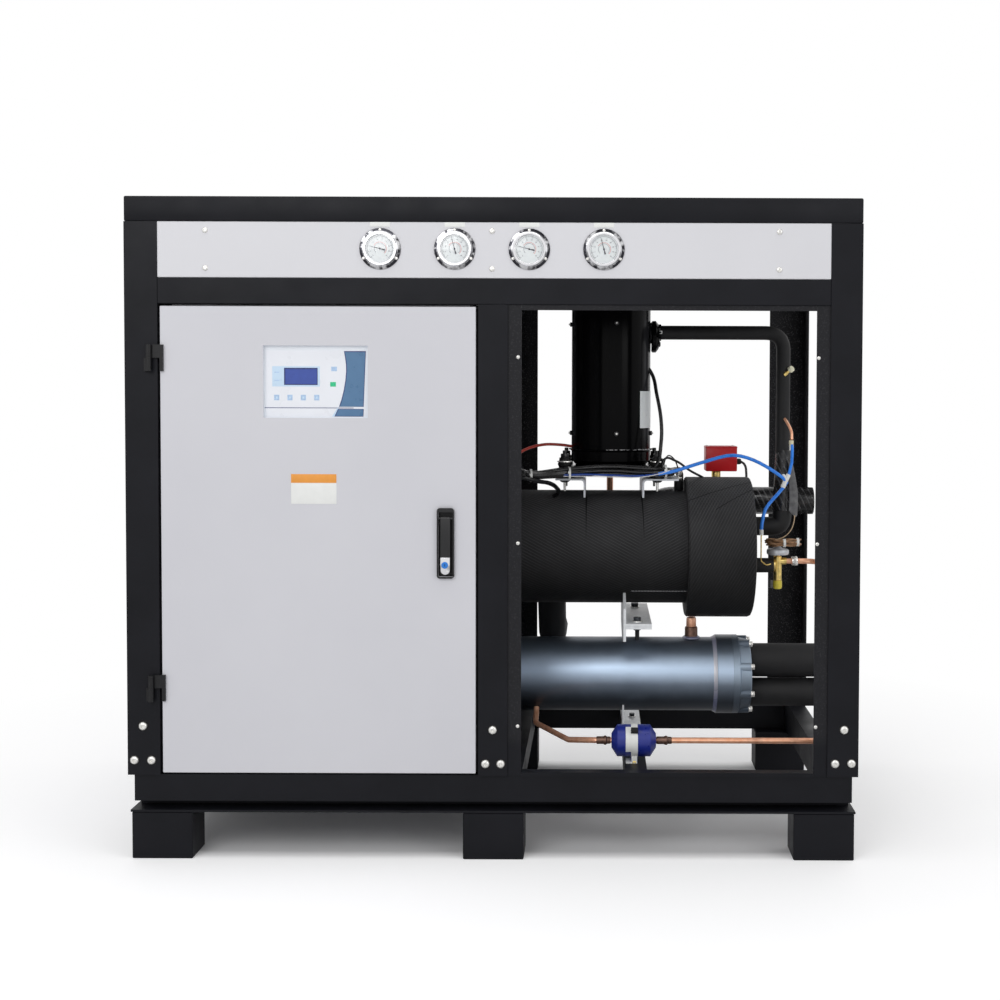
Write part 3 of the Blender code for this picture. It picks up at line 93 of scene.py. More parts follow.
class Value:
    """A number worked out in a finish's nodes, written with plain arithmetic."""

    def __init__(self, socket):
        self.socket = socket
        self.tree = socket.id_data

    def step(self, operation, other=0):
        node = self.tree.nodes.new("ShaderNodeMath")
        node.operation = operation
        for place, value in zip(node.inputs, (self, other)):
            if isinstance(value, Value):
                self.tree.links.new(value.socket, place)
            else:
                place.default_value = value
        return Value(node.outputs[0])

    def __add__(self, other):
        return self.step("ADD", other)

    def __sub__(self, other):
        return self.step("SUBTRACT", other)

    def __rsub__(self, other):
        return self * -1 + other

    def __mul__(self, other):
        return self.step("MULTIPLY", other)

    def __pow__(self, other):
        return self.step("POWER", other)

    def __abs__(self):
        return self.step("ABSOLUTE")

    def __gt__(self, other):
        return self.step("GREATER_THAN", other)

    def __lt__(self, other):
        return self.step("LESS_THAN", other)

    def spread(self, low, high, out_low=0, out_high=1):
        """The stretch from low to high carried over to another range."""
        node = self.tree.nodes.new("ShaderNodeMapRange")
        for place, value in zip(node.inputs[1:5], (low, high, out_low, out_high)):
            place.default_value = value
        self.tree.links.new(self.socket, node.inputs["Value"])
        return Value(node.outputs["Result"])


class Finish:
    """A plain shader with its Object coordinates x, y and z ready for the patterns."""

    def __init__(self, name, colour, roughness, metallic=0, gloss=0.5):
        material = bpy.data.materials.new(name)
        material.use_nodes = True
        FINISHES[name] = material
        self.tree = material.node_tree
        self.shader = self.tree.nodes["Principled BSDF"]
        self.shader.inputs["Base Color"].default_value = (*colour, 1)
        self.shader.inputs["Roughness"].default_value = roughness
        self.shader.inputs["Metallic"].default_value = metallic
        self.shader.inputs["Specular IOR Level"].default_value = gloss
        self.where = self.tree.nodes.new("ShaderNodeTexCoord").outputs["Object"]
        split = self.tree.nodes.new("ShaderNodeSeparateXYZ")
        self.tree.links.new(self.where, split.inputs[0])
        self.x, self.y, self.z = (Value(socket) for socket in split.outputs)

    def noise(self, size, detail=3, stretch=(1, 1, 1)):
        """Noise whose patches are about the given size in metres."""
        turn = self.tree.nodes.new("ShaderNodeMapping")
        turn.inputs["Scale"].default_value = stretch
        self.tree.links.new(self.where, turn.inputs["Vector"])
        pattern = self.tree.nodes.new("ShaderNodeTexNoise")
        pattern.inputs["Scale"].default_value = 1 / size
        pattern.inputs["Detail"].default_value = detail
        self.tree.links.new(turn.outputs["Vector"], pattern.inputs["Vector"])
        return Value(pattern.outputs["Fac"])

    def ramp(self, value, low, high, dark, light):
        """A colour that runs from dark to light as the value runs from low to high."""
        node = self.tree.nodes.new("ShaderNodeValToRGB")
        for element, place, colour in zip(node.color_ramp.elements, (low, high), (dark, light)):
            element.position = place
            element.color = (*colour, 1)
        self.tree.links.new(value.socket, node.inputs["Fac"])
        return node.outputs["Color"]

    def blend(self, factor, first, second):
        """Two colours mixed by a factor from 0 to 1."""
        node = self.tree.nodes.new("ShaderNodeMix")
        node.data_type = "RGBA"
        self.tree.links.new(factor.socket, node.inputs["Factor"])
        for place, colour in zip(node.inputs[6:8], (first, second)):
            if isinstance(colour, tuple):
                place.default_value = (*colour, 1)
            else:
                self.tree.links.new(colour, place)
        return node.outputs[2]

    def feed(self, name, value):
        self.tree.links.new(value.socket if isinstance(value, Value) else value, self.shader.inputs[name])

    def relief(self, value, height, before=None):
        """Bumps of the given height in metres, laid over earlier ones if there are any."""
        node = self.tree.nodes.new("ShaderNodeBump")
        node.inputs["Distance"].default_value = height
        node.inputs["Strength"].default_value = 1
        self.tree.links.new(value.socket, node.inputs["Height"])
        if before:
            self.tree.links.new(before, node.inputs["Normal"])
        self.feed("Normal", node.outputs["Normal"])
        return node.outputs["Normal"]


def surface(name, colour, roughness, metallic=0, mottle=0.12, patch=0.08, grain=0.0012, height=0.00002,
        vary=0.08, gloss=0.5):
    """Colour and roughness that drift in broad patches over a fine grain; a zero leaves that pattern out."""
    finish = Finish(name, colour, roughness, metallic, gloss)
    broad = finish.noise(patch)
    if mottle:
        dark, light = (tuple(min(1, part * share) for part in colour) for share in (1 - mottle, 1 + mottle))
        finish.feed("Base Color", finish.ramp(broad, 0.3, 0.7, dark, light))
    if vary:
        finish.feed("Roughness", broad.spread(0.3, 0.7, roughness - vary, roughness + vary))
    if height:
        finish.relief(finish.noise(grain, 2), height)
    return finish


def flecked_coat():
    """Black powder coat, pebbled with pale specks on the faces set back from the front."""
    finish = surface("black_coat_textured", (0.0065, 0.0065, 0.0082), 0.45, mottle=0, height=0, gloss=0.16)
    laid = finish.relief(finish.noise(0.05, 2), 0.00005)
    finish.relief(finish.noise(0.0016, 1), 0.00012, laid)
    base = finish.ramp(finish.noise(0.12), 0.3, 0.7, (0.0055, 0.0058, 0.008), (0.0085, 0.0088, 0.012))
    inside = finish.y.spread(FRONT + 0.002, FRONT + 0.004) * finish.z.spread(0.235, 0.26)
    lit = finish.blend(inside, base, (0.014, 0.014, 0.0165))
    post = (finish.y > 0.25) * (finish.z < 1.27)
    specks = finish.noise(0.003).spread(0.56, 0.68, 0, 0.85) * post.spread(0, 1, 0.18, 0.8)
    specks = specks * inside.spread(0, 1, 0.04, 1)
    finish.feed("Base Color", finish.blend(specks, lit, (0.13, 0.13, 0.14)))


def quilted_foam(name, radius, cover):
    """Matt foam sheet pressed with fine slanting lines, palest where the light falls on its top."""
    finish = surface(name, (0.0135, 0.0135, 0.0145), 0.66, mottle=0, patch=0.05, height=0, gloss=0.22)
    x, z = finish.x, finish.z
    round_way = (VESSEL_Y - finish.y).step("ARCTAN2", z - EVAP_HEIGHT) * radius
    if cover:
        high = z.spread(EVAP_HEIGHT + radius * 0.35, EVAP_HEIGHT + radius * 0.75, 0, 0.8)
        families = ((0.5, 1, 1), (-0.5, 1, high))
    else:
        families = ((1, 0.53, x.spread(0.3, 0.33, 0.2, 1)), (1, -0.53, x.spread(0.3, 0.33, 1, 0.2)))
    lattice = 0
    for down, along, weight in families:
        wave = ((x * along + round_way * down) * (math.pi / QUILT_PITCH)).step("SINE")
        lattice = ((1 - abs(wave) ** 0.5) * weight).step("MAXIMUM", lattice)
    if cover:
        lattice = lattice * (x < HEAD_RIGHT - 0.0012)
    finish.relief(lattice, 0.0005, finish.relief(finish.noise(0.0018, 2), 0.00012))
    base = finish.ramp(finish.noise(0.06), 0.3, 0.7, (0.036, 0.036, 0.038), (0.054, 0.054, 0.057))
    # The pressed lines are coloured paler, more so in some broad patches than in others.
    pale_lattice = lattice * finish.noise(0.05).spread(0.3, 0.7, 0.55, 1)
    tone = finish.blend(pale_lattice.spread(0.15, 0.85), base, (0.135, 0.135, 0.14))
    tone = finish.blend(finish.noise(0.0022).spread(0.66, 0.72, 0, 0.3), tone, (0.2, 0.2, 0.2))
    light = z.spread(EVAP_HEIGHT - radius * 0.7, EVAP_HEIGHT + radius * 0.95, 0.35, 1) ** 2
    tone = finish.blend(light, (0, 0, 0), tone)
    marks = []
    if cover:
        for slope, level, from_x in ((0.493, 0.3345, 0), (0.72, 0.4982, 0.48)):
            seam = abs(x * slope + round_way - level).spread(0.0006, 0.0014, 1, 0)
            marks.append(seam * (x > from_x))
    else:
        half = round_way.spread(0.058, 0.173, 0.002, 0.0003)
        for middle, lean in ((0.187, 0), (0.3134, 0.03)):
            slit = abs(x - round_way * lean - middle) < half
            marks.append(slit * (round_way > 0.056) * (round_way < 0.173))
        seam = (abs(round_way - 0.3106) < 0.0008) * ((x * 900).step("SINE") > -0.9) * (x > 0.29)
        tone = finish.blend(seam, tone, (0.45, 0.45, 0.46))
    dark = marks[0].step("MAXIMUM", marks[1])
    finish.feed("Base Color", finish.blend(dark, tone, (0.0025, 0.0025, 0.003)))


def banded_paint(name, low, high, roughness, metallic, grain, height):
    """Finish of the condenser and its weld, palest along the band where they mirror the bright floor."""
    finish = surface(name, low, roughness, metallic, mottle=0, grain=grain, height=height, vary=0.04)
    drift = finish.noise(0.05) * 0.01 + abs(finish.z - (COND_HEIGHT + 0.024))
    finish.feed("Base Color", finish.blend(drift.spread(0.01, 0.082, 1, 0) ** 1.5, low, high))


def compressor_gloss():
    """Glossy black enamel, with painted reflections as paler strips near both sides and a painted highlight
    as the broken pale line of its seam.
    """
    black = (0.0028, 0.0028, 0.0032)
    finish = surface("compressor_gloss", black, 0.16, mottle=0, vary=0.03, height=0.00001, gloss=0.06)
    side, z = finish.x - COMP_X, finish.z
    # Painted reflection: paler strips near both sides, standing in for the enamel mirroring the bright room
    # there.
    left = abs(side + COMP_RADIUS * 0.045).spread(COMP_RADIUS * 0.82, COMP_RADIUS * 0.88)
    right = side.spread(COMP_RADIUS * 0.7, COMP_RADIUS * 0.76, 0, 0.28)
    right = right * side.spread(COMP_RADIUS * 0.88, COMP_RADIUS * 0.94, 1, 0)
    edges = left.step("MAXIMUM", right) * z.spread(0.84, 0.87) * z.spread(1.115, 1.15, 1, 0)
    edges = edges * finish.noise(0.05).spread(0.3, 0.7, 0.6, 1) * (side < COMP_RADIUS + 0.001)
    # Painted highlight: a broken pale line along the seam.
    seam = abs(z - 0.8321).spread(0.0006, 0.0012, 1, 0) * finish.noise(0.008).spread(0.45, 0.6)
    tone = finish.blend(edges, black, (0.035, 0.036, 0.04))
    finish.feed("Base Color", finish.blend(seam * (side > -0.012), tone, (0.55, 0.55, 0.56)))


def door_grey():
    """Pale grey powder coat, a shade lighter on the gauge panel at the top."""
    finish = surface("grey_coat", (0.6, 0.6, 0.645), 0.5, mottle=0, patch=0.25, height=0.00001, gloss=0.3)
    drift = finish.noise(0.25)
    upper = (finish.z > 1.187) * (finish.y < FRONT + 0.03)
    door = finish.ramp(drift, 0.3, 0.7, (0.628, 0.628, 0.668), (0.652, 0.652, 0.69))
    panel = finish.ramp(drift, 0.3, 0.7, (0.69, 0.69, 0.72), (0.715, 0.715, 0.745))
    finish.feed("Base Color", finish.blend(upper, door, panel))


def lapped_tape():
    """Black tape wound on a slant round the water pipes, with soft folds and a painted highlight along each
    lapped turn.
    """
    finish = surface("lapped_tape", (0.013, 0.013, 0.014), 0.27, mottle=0, patch=0.03, height=0, gloss=0.6)
    turns = ((finish.z * 0.45 + finish.x) * (1 / 0.014)).step("FRACT")
    folds = finish.noise(0.02, 3, (0.5, 1, 1))
    # Painted highlight: pale bands along each turn, broken up by the folds.
    edge = turns.spread(0.66, 0.92) * folds.spread(0.4, 0.6, 0.2, 1)
    finish.feed("Base Color", finish.blend(edge, (0.012, 0.012, 0.013), (0.13, 0.13, 0.135)))
    finish.relief(turns, 0.003, finish.relief(folds, 0.003))


def brushed_sheet():
    """Galvanised sheet with its flowered grain and dull edges."""
    finish = surface("galvanised", (0.6, 0.62, 0.66), 0.45, 0.35, mottle=0, vary=0)
    flowers = finish.noise(0.01, 1)
    finish.feed("Base Color", finish.ramp(flowers, 0.35, 0.65, (0.5, 0.52, 0.56), (0.68, 0.7, 0.74)))
    finish.feed("Roughness", flowers.spread(0.35, 0.65, 0.38, 0.52))


def streaked_chrome():
    """Pressed rim of the gauges, whose outer ring mirrors dark streaks of the room."""
    finish = surface("gauge_chrome", (0.8, 0.8, 0.82), 0.1, 1, mottle=0)
    steps = (finish.x - (GAUGE_MIDDLE - 2 * GAUGE_PITCH)) * (1 / GAUGE_PITCH)
    side = (steps.step("FRACT") - 0.5) * GAUGE_PITCH
    rise = finish.z - GAUGE_HEIGHT
    ring = ((side * side + rise * rise) ** 0.5).spread(0.035, 0.0366)
    waves = (rise.step("ARCTAN2", side) * 3 + 0.6).step("SINE")
    dark = (waves * 0.16 + finish.noise(0.012, 2)).spread(0.5, 0.72, 1, 0.2) * ring
    finish.feed("Base Color", finish.blend(dark, (0.78, 0.78, 0.8), (0.03, 0.03, 0.036)))


def tarnished_copper():
    """Bare copper that darkens in patches."""
    finish = surface("bare_copper", (0.94, 0.56, 0.4), 0.36, 0.45, mottle=0, vary=0)
    stains = finish.noise(0.045, 4).spread(0.56, 0.7, 0, 0.4)
    base = finish.ramp(finish.noise(0.012), 0.3, 0.7, (0.93, 0.43, 0.25), (1, 0.57, 0.38))
    finish.feed("Base Color", finish.blend(stains, base, (0.3, 0.13, 0.09)))
    finish.feed("Roughness", stains.spread(0, 0.4, 0.32, 0.46))


def dial_glass():
    """Thin pane that shows only its own reflections."""
    finish = Finish("dial_glass", (1, 1, 1), 0.04, 1)
    edge = finish.tree.nodes.new("ShaderNodeFresnel")
    edge.inputs["IOR"].default_value = 1.5
    finish.relief(finish.noise(0.02), 0.0001)
    finish.feed("Alpha", Value(edge.outputs[0]).spread(0.04, 1, 0.022, 0.7))


flecked_coat()
door_grey()
brushed_sheet()
streaked_chrome()
tarnished_copper()
lapped_tape()
compressor_gloss()
dial_glass()
quilted_foam("quilted_foam", EVAP_RADIUS, False)
quilted_foam("cover_foam", HEAD_RADIUS, True)
banded_paint("blue_grey_paint", (0.03, 0.038, 0.052), (0.5, 0.62, 0.78), 0.37, 0.6, 0.0012, 0.00002)
banded_paint("cast_blue_grey", (0.06, 0.078, 0.105), (0.42, 0.52, 0.64), 0.42, 0.5, 0.002, 0.0003)
banded_paint("weld_bead", (0.14, 0.15, 0.25), (0.95, 0.95, 1), 0.25, 0.1, 0.002, 0.0004)
surface("hinge_black", (0.008, 0.008, 0.009), 0.4, patch=0.01, gloss=0.3)
surface("pale_zinc", (0.84, 0.86, 0.88), 0.42, 0.12, mottle=0.08, patch=0.01)
surface("bright_chrome", (0.72, 0.72, 0.74), 0.12, 1, mottle=0.03)
surface("turned_brass", (0.82, 0.62, 0.22), 0.36, 1, mottle=0.2, patch=0.008)
surface("matt_foam", (0.01, 0.01, 0.011), 0.66, mottle=0.3, patch=0.04, grain=0.002, height=0.0002,
    gloss=0.35)
surface("gloss_black", (0.0028, 0.0028, 0.0032), 0.16, mottle=0.1, vary=0.03, height=0.00001, gloss=0.12)
surface("deep_blue", (0.012, 0.024, 0.24), 0.34, mottle=0.1, patch=0.01)
surface("red_plastic", (0.66, 0.014, 0.02), 0.36, mottle=0.05, gloss=0.4)
surface("white_plastic", (0.8, 0.83, 0.88), 0.35, mottle=0.02)
surface("black_plastic", (0.008, 0.008, 0.009), 0.36, gloss=0.4)
surface("lever_black", (0.009, 0.009, 0.01), 0.34, gloss=0.45)
surface("cable_black", (0.008, 0.008, 0.009), 0.3, patch=0.01)
surface("hose_blue", (0.035, 0.255, 0.95), 0.3, patch=0.02)
surface("lead_blue", (0.012, 0.06, 0.32), 0.34, patch=0.02)
surface("tan_wire", (0.5, 0.36, 0.22), 0.4, mottle=0.2, patch=0.006)
surface("pale_cap", (0.86, 0.84, 0.62), 0.4, mottle=0.06, patch=0.004)
surface("zinc_plate", (0.8, 0.79, 0.76), 0.3, 0.75, mottle=0.1, patch=0.004)
surface("bare_card", (0.83, 0.84, 0.82), 0.55, mottle=0.02, patch=0.02)
surface("amber_card", (0.82, 0.33, 0.05), 0.5, mottle=0.04, patch=0.01)
surface("pale_film", (0.83, 0.85, 0.9), 0.32, mottle=0.01, patch=0.05)
surface("sky_film", (0.58, 0.74, 0.9), 0.32, mottle=0.02, patch=0.03)
surface("key_film", (0.42, 0.58, 0.8), 0.35, patch=0.003)
surface("green_film", (0.03, 0.55, 0.25), 0.32, mottle=0.06, patch=0.003)
surface("steel_film", (0.082, 0.185, 0.335), 0.32, mottle=0.04, patch=0.02)
surface("navy_film", (0.02, 0.035, 0.16), 0.32, mottle=0.04, patch=0.02)
surface("screen_blue", (0.045, 0.085, 0.36), 0.12, mottle=0.05, patch=0.01, vary=0.02)
surface("dial_white", (0.94, 0.98, 1), 0.35, mottle=0.02, patch=0.01)
surface("dial_ink", (0.03, 0.03, 0.05), 0.5, mottle=0.1, patch=0.002)
surface("dial_red", (0.75, 0.16, 0.14), 0.5, mottle=0.1, patch=0.002)
surface("lock_blue", (0.02, 0.2, 0.66), 0.32, mottle=0.1, patch=0.002)
surface("cream_plastic", (0.8, 0.74, 0.52), 0.42, mottle=0.08, patch=0.005)
surface("red_rubber", (0.62, 0.075, 0.055), 0.45, mottle=0.08, patch=0.01)
surface("brown_wire", (0.3, 0.17, 0.09), 0.35, 0.5, mottle=0.3, patch=0.006)
surface("grey_tape", (0.12, 0.12, 0.124), 0.42, mottle=0.35, patch=0.01, height=0.0002)
surface("dark_steel", (0.075, 0.08, 0.09), 0.32, 0.8, mottle=0.3, patch=0.004)
surface("burnt_copper", (0.14, 0.08, 0.058), 0.42, 0.7, mottle=0.4, patch=0.008)
surface("yellow_cap", (0.72, 0.6, 0.06), 0.4, mottle=0.08, patch=0.004)
surface("rubber", (0.009, 0.009, 0.009), 0.6, mottle=0.3, patch=0.006, gloss=0.3)
for short_name, name in (("black_coat", "black_coat_textured"), ("brass", "turned_brass"),
        ("zinc", "zinc_plate"), ("copper", "bare_copper"), ("foam", "matt_foam")):
    FINISHES[short_name] = FINISHES[name]


def dress_solids():
    """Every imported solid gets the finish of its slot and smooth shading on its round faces."""
    special = {"evaporator_shell": "quilted_foam", "evaporator_head_cover": "cover_foam",
        "chilled_water_pipe": "lapped_tape", "compressor": "compressor_gloss"}
    for side in ("left", "right"):
        for kind in ("condenser_bracket", "condenser_leg", "evaporator_bracket"):
            special[kind + "_" + side] = "pale_zinc"
    for part in frame["record"]["subparts"]:
        name = part["node"]
        solid = frame["nodes"][name]
        solid.data.materials.clear()
        solid.data.materials.append(FINISHES[special.get(name, part["material_slot"])])
        for face in solid.data.polygons:
            face.use_smooth = True
        solid.modifiers.new("joined corners", "WELD").merge_threshold = 0.00001
        solid.modifiers.new("crisp edges", "EDGE_SPLIT").split_angle = math.radians(32)


# Shapes

def rounded(part, edges, offset):
    bmesh.ops.bevel(part, geom=edges, offset=offset, segments=2, profile=0.5, affect="EDGES", material=-1)
    return part


def shifted(part, move):
    bmesh.ops.translate(part, vec=move, verts=part.verts)
    return part


def rotated(part, degrees, axis="Z"):
    bmesh.ops.rotate(part, matrix=Matrix.Rotation(math.radians(degrees), 3, axis), verts=part.verts)
    return part


def turned(profile, sides):
    """Round part along Z, spun from its profile of radius and height."""
    part = bmesh.new()
    corners = [part.verts.new((radius, 0, height)) for radius, height in profile]
    edges = [part.edges.new(pair) for pair in zip(corners, corners[1:])]
    bmesh.ops.spin(part, geom=corners + edges, cent=(0, 0, 0), axis=(0, 0, 1), angle=2 * math.pi,
        steps=sides, use_merge=True)
    bmesh.ops.remove_doubles(part, verts=part.verts, dist=0.000001)
    bmesh.ops.recalc_face_normals(part, faces=part.faces)
    return part


def band(inner, outer, half, sides):
    """Flat ring about the origin, half its width to each side."""
    return turned([(inner, -half), (outer, -half), (outer, half), (inner, half), (inner, -half)], sides)


def block(size, edge=0):
    """Box about the origin with rounded edges."""
    part = bmesh.new()
    bmesh.ops.create_cube(part, size=1)
    bmesh.ops.scale(part, vec=size, verts=part.verts)
    return rounded(part, part.edges[:], edge) if edge else part


def hexagon(across, height, edge=0.0006):
    """Nut or bolt head standing on Z = 0."""
    part = bmesh.new()
    bmesh.ops.create_cone(part, cap_ends=True, segments=6, radius1=across * 0.577, radius2=across * 0.577,
        depth=height)
    return rounded(shifted(part, (0, 0, height / 2)), part.edges[:], edge)


def sheet(outline, thick):
    """Flat sheet cut to an outline in X and Z, from Y = 0 towards the viewer."""
    part = bmesh.new()
    face = part.faces.new([part.verts.new((x, 0, z)) for x, z in outline])
    grown = bmesh.ops.extrude_face_region(part, geom=[face])["geom"]
    moved = [item for item in grown if isinstance(item, bmesh.types.BMVert)]
    bmesh.ops.translate(part, vec=(0, -thick, 0), verts=moved)
    bmesh.ops.recalc_face_normals(part, faces=part.faces)
    return part


def arched(section, start, end, steps):
    """Section of radius and height swept round Z from one angle to another, with closed ends."""
    part = bmesh.new()
    corners = [part.verts.new((radius, 0, height)) for radius, height in section]
    face = part.faces.new(corners)
    bmesh.ops.spin(part, geom=corners + list(face.edges) + [face], cent=(0, 0, 0), axis=(0, 0, 1),
        angle=math.radians(end - start), steps=steps)
    bmesh.ops.recalc_face_normals(part, faces=part.faces)
    return rotated(part, start)


def lofted(rings, sides=20):
    """Sleeve through level ovals, each given by centre and two radii."""
    part = bmesh.new()
    loop = bmesh.ops.create_circle(part, cap_ends=False, segments=sides, radius=1)["verts"]
    edges = part.edges[:]
    last = None
    for ring in rings:
        x, y, z, wide, deep = ring
        if last:
            grown = bmesh.ops.extrude_edge_only(part, edges=edges)["geom"]
            loop = [item for item in grown if isinstance(item, bmesh.types.BMVert)]
            edges = [item for item in grown if isinstance(item, bmesh.types.BMEdge)]
            edges = [edge for edge in edges if all(corner in loop for corner in edge.verts)]
            bmesh.ops.translate(part, vec=(-last[0], -last[1], -last[2]), verts=loop)
            bmesh.ops.scale(part, vec=(1 / last[3], 1 / last[4], 1), verts=loop)
        bmesh.ops.scale(part, vec=(wide, deep, 1), verts=loop)
        bmesh.ops.translate(part, vec=(x, y, z), verts=loop)
        last = ring
    bmesh.ops.holes_fill(part, edges=[edge for edge in part.edges if edge.is_boundary], sides=0)
    bmesh.ops.recalc_face_normals(part, faces=part.faces)
    return part


def put(whole, part, at=(0, 0, 0), facing=(0, 0, 1), finish=0, flat=False):
    """Turns a part so that its Z points the given way, moves it and joins it to the whole."""
    turn = Vector((0, 0, 1)).rotation_difference(Vector(facing)).to_matrix().to_4x4()
    bmesh.ops.transform(part, matrix=Matrix.Translation(at) @ turn, verts=part.verts)
    for face in part.faces:
        face.material_index = finish
        face.smooth = not flat
    mesh = bpy.data.meshes.new("part")
    part.to_mesh(mesh)
    part.free()
    whole.from_mesh(mesh)
    bpy.data.meshes.remove(mesh)


def lathe(whole, sides, profile, at, facing=(0, 0, 1), finish=0):
    put(whole, turned(profile, sides), at, facing, finish)


def placed(name, data):
    """A new object in the scene that holds the given data."""
    item = bpy.data.objects.new(name, data)
    bpy.context.scene.collection.objects.link(item)
    return item


def finished(name, whole, finishes, body="chassis", angle=35):
    """Makes the piece from its whole shape and lets it move with its body."""
    mesh = bpy.data.meshes.new(name)
    whole.to_mesh(mesh)
    whole.free()
    for finish in finishes:
        mesh.materials.append(FINISHES[finish])
    mesh.set_sharp_from_angle(angle=math.radians(angle))
    piece = placed(name, mesh)
    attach(piece, body)


def four_corners(x, y, half_x, half_y):
    return [(x + side_x * half_x, y + side_y * half_y) for side_x in (-1, 1) for side_y in (-1, 1)]


def behind(x, depth, z):
    """A place given by its depth behind the front."""
    return (x, FRONT + depth, z)


def wire(name, points, radius, finish):
    """Round wire with closed ends through points that are given like those of behind()."""
    curve = bpy.data.curves.new(name, "CURVE")
    curve.dimensions = "3D"
    curve.bevel_depth = radius
    curve.bevel_resolution = 3
    curve.resolution_u = 8
    curve.use_fill_caps = True
    line = curve.splines.new("BEZIER")
    line.bezier_points.add(len(points) - 1)
    for knot, point in zip(line.bezier_points, points):
        knot.co = behind(*point)
        knot.handle_left_type = "AUTO"
        knot.handle_right_type = "AUTO"
    curve.materials.append(FINISHES[finish])
    piece = placed(name, curve)
    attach(piece, "chassis")


TOWARDS = (0, -1, 0)
RIGHTWARDS = (1, 0, 0)
DOWN = (0, 0, -1)


# Front of the frame

def socket_head(radius):
    """Domed head with a six-sided socket."""
    height = radius * 0.5
    hole = radius * 0.42
    profile = [(0, height * 0.35), (hole, height * 0.35), (hole, height), (radius * 0.62, height * 0.97)]
    profile += [(radius * 0.85, height * 0.68), (radius, height * 0.2), (radius, 0)]
    head = turned(profile, 24)
    for corner in head.verts:
        reach = math.hypot(corner.co.x, corner.co.y)
        if 0.0001 < reach < hole * 1.01:
            angle = math.degrees(math.atan2(corner.co.y, corner.co.x)) % 60 - 30
            bmesh.ops.scale(head, vec=(0.9 / math.cos(math.radians(angle)),) * 2 + (1,), verts=[corner])
    return head


def build_frame_bolts():
    """Domed bolts at the feet of the three front posts, each on a thin dark ring."""
    whole = bmesh.new()
    for x, z in ((-0.718, 0.276), (-0.736, 0.2055), (-0.701, 0.2055), (-0.001, 0.27), (-0.016, 0.2),
            (0.0155, 0.2), (0.72, 0.2725), (0.702, 0.2025), (0.7356, 0.203)):
        lathe(whole, 24, [(0, 0.0008), (0.0102, 0.0008), (0.0106, 0)], (x, FRONT, z), TOWARDS, 1)
        put(whole, socket_head(0.0086), (x, FRONT - 0.0008, z), TOWARDS)
    finished("frame_bolts", whole, ["zinc", "rubber"])


def build_panel_screws():
    """Round-headed screws of the gauge panel and small ones on the jambs."""
    whole = bmesh.new()
    for x in (-0.585, -0.003, 0.58):
        for z in (1.289, 1.2125):
            put(whole, socket_head(0.006), (x, FRONT + 0.001, z), TOWARDS)
    for x in (0.05, 0.662):
        for z in (1.034, 0.654, 0.277):
            put(whole, socket_head(0.004), (x, FRONT + 0.004, z), TOWARDS)
    finished("panel_screws", whole, ["zinc"])


# Gauges

def arc_band(radius, width, start, end, thick):
    """Thin curved band printed on a dial, drawn from one angle to another."""
    half = width / 2
    section = [(radius - half, 0), (radius + half, 0), (radius + half, thick), (radius - half, thick)]
    return arched(section, start, end, 24)


def build_gauge_face(index, needle):
    """Dial with its scale, needle and glass, and the three screws of the flange."""
    x = GAUGE_MIDDLE + GAUGE_PITCH * (index - 2.5)
    middle = (x, DIAL_FACE, GAUGE_HEIGHT)
    whole = bmesh.new()
    lathe(whole, 40, [(0, 0.0005), (0.0286, 0.0005), (0.0286, 0)], middle, TOWARDS)
    for radius, width, start, end, ink in ((0.0262, 0.0004, -45, 225, 1), (0.0135, 0.0007, -45, 150, 2),
            (0.0112, 0.0005, -45, 225, 1)):
        put(whole, arc_band(radius, width, start, end, 0.0002), (x, DIAL_FACE - 0.0005, GAUGE_HEIGHT),
            TOWARDS, ink)
    for step in range(46):
        long, wide = (0.0022, 0.00025) if step % 5 else (0.0042, 0.00045)
        tick = shifted(block((long, wide, 0.0002)), (0.0262 - long / 2, 0, 0.0006))
        put(whole, rotated(tick, 225 - 6 * step), middle, TOWARDS, 1, True)
    for step in range(10):
        angle = math.radians(225 - 30 * step)
        bmesh_text(whole, str(step * 5), 0.0033, (x + 0.0192 * math.cos(angle), DIAL_FACE - 0.0006,
            GAUGE_HEIGHT + 0.0192 * math.sin(angle) - 0.0012), 1)
    pointer = sheet([(-0.0105, -0.0012), (-0.0095, -0.0016), (-0.003, -0.0008), (0.0228, -0.00025),
        (0.0228, 0.00025), (-0.003, 0.0008), (-0.0095, 0.0016), (-0.0105, 0.0012)], 0.0003)
    put(whole, rotated(pointer, -needle, "Y"), (x, DIAL_FACE - 0.0014, GAUGE_HEIGHT), finish=1, flat=True)
    lathe(whole, 24, [(0, 0.0026), (0.0014, 0.0024), (0.002, 0.001), (0.002, 0.0005)], middle, TOWARDS, 1)
    finished("gauge_dial_%d" % index, whole, ["dial_white", "dial_ink", "dial_red"])
    pane = bmesh.new()
    lathe(pane, 40, [(0, 0.0046), (0.012, 0.0043), (0.022, 0.0036), (0.0288, 0.003), (0.0288, 0.0026),
        (0, 0.0038)], middle, TOWARDS)
    finished("gauge_glass_%d" % index, pane, ["dial_glass"])
    screws = bmesh.new()
    for angle in (90, 210, 330):
        turn = math.radians(angle)
        at = (x + 0.0383 * math.cos(turn), FRONT - 0.002, GAUGE_HEIGHT + 0.0383 * math.sin(turn))
        put(screws, socket_head(0.0032), at, TOWARDS)
    finished("gauge_screws_%d" % index, screws, ["zinc"])


def bmesh_text(whole, words, size, at, finish):
    """Small raised numerals that face the viewer."""
    letters = bpy.data.curves.new("numerals", "FONT")
    letters.body = words
    letters.size = size
    letters.extrude = 0.00008
    letters.resolution_u = 2
    letters.align_x = "CENTER"
    holder = placed("numerals", letters)
    mesh = bpy.data.meshes.new_from_object(holder.evaluated_get(bpy.context.evaluated_depsgraph_get()))
    bpy.data.objects.remove(holder)
    bpy.data.curves.remove(letters)
    part = bmesh.new()
    part.from_mesh(mesh)
    bpy.data.meshes.remove(mesh)
    rotated(part, 90, "X")
    bmesh.ops.remove_doubles(part, verts=part.verts, dist=0.000001)
    put(whole, part, at, finish=finish, flat=True)


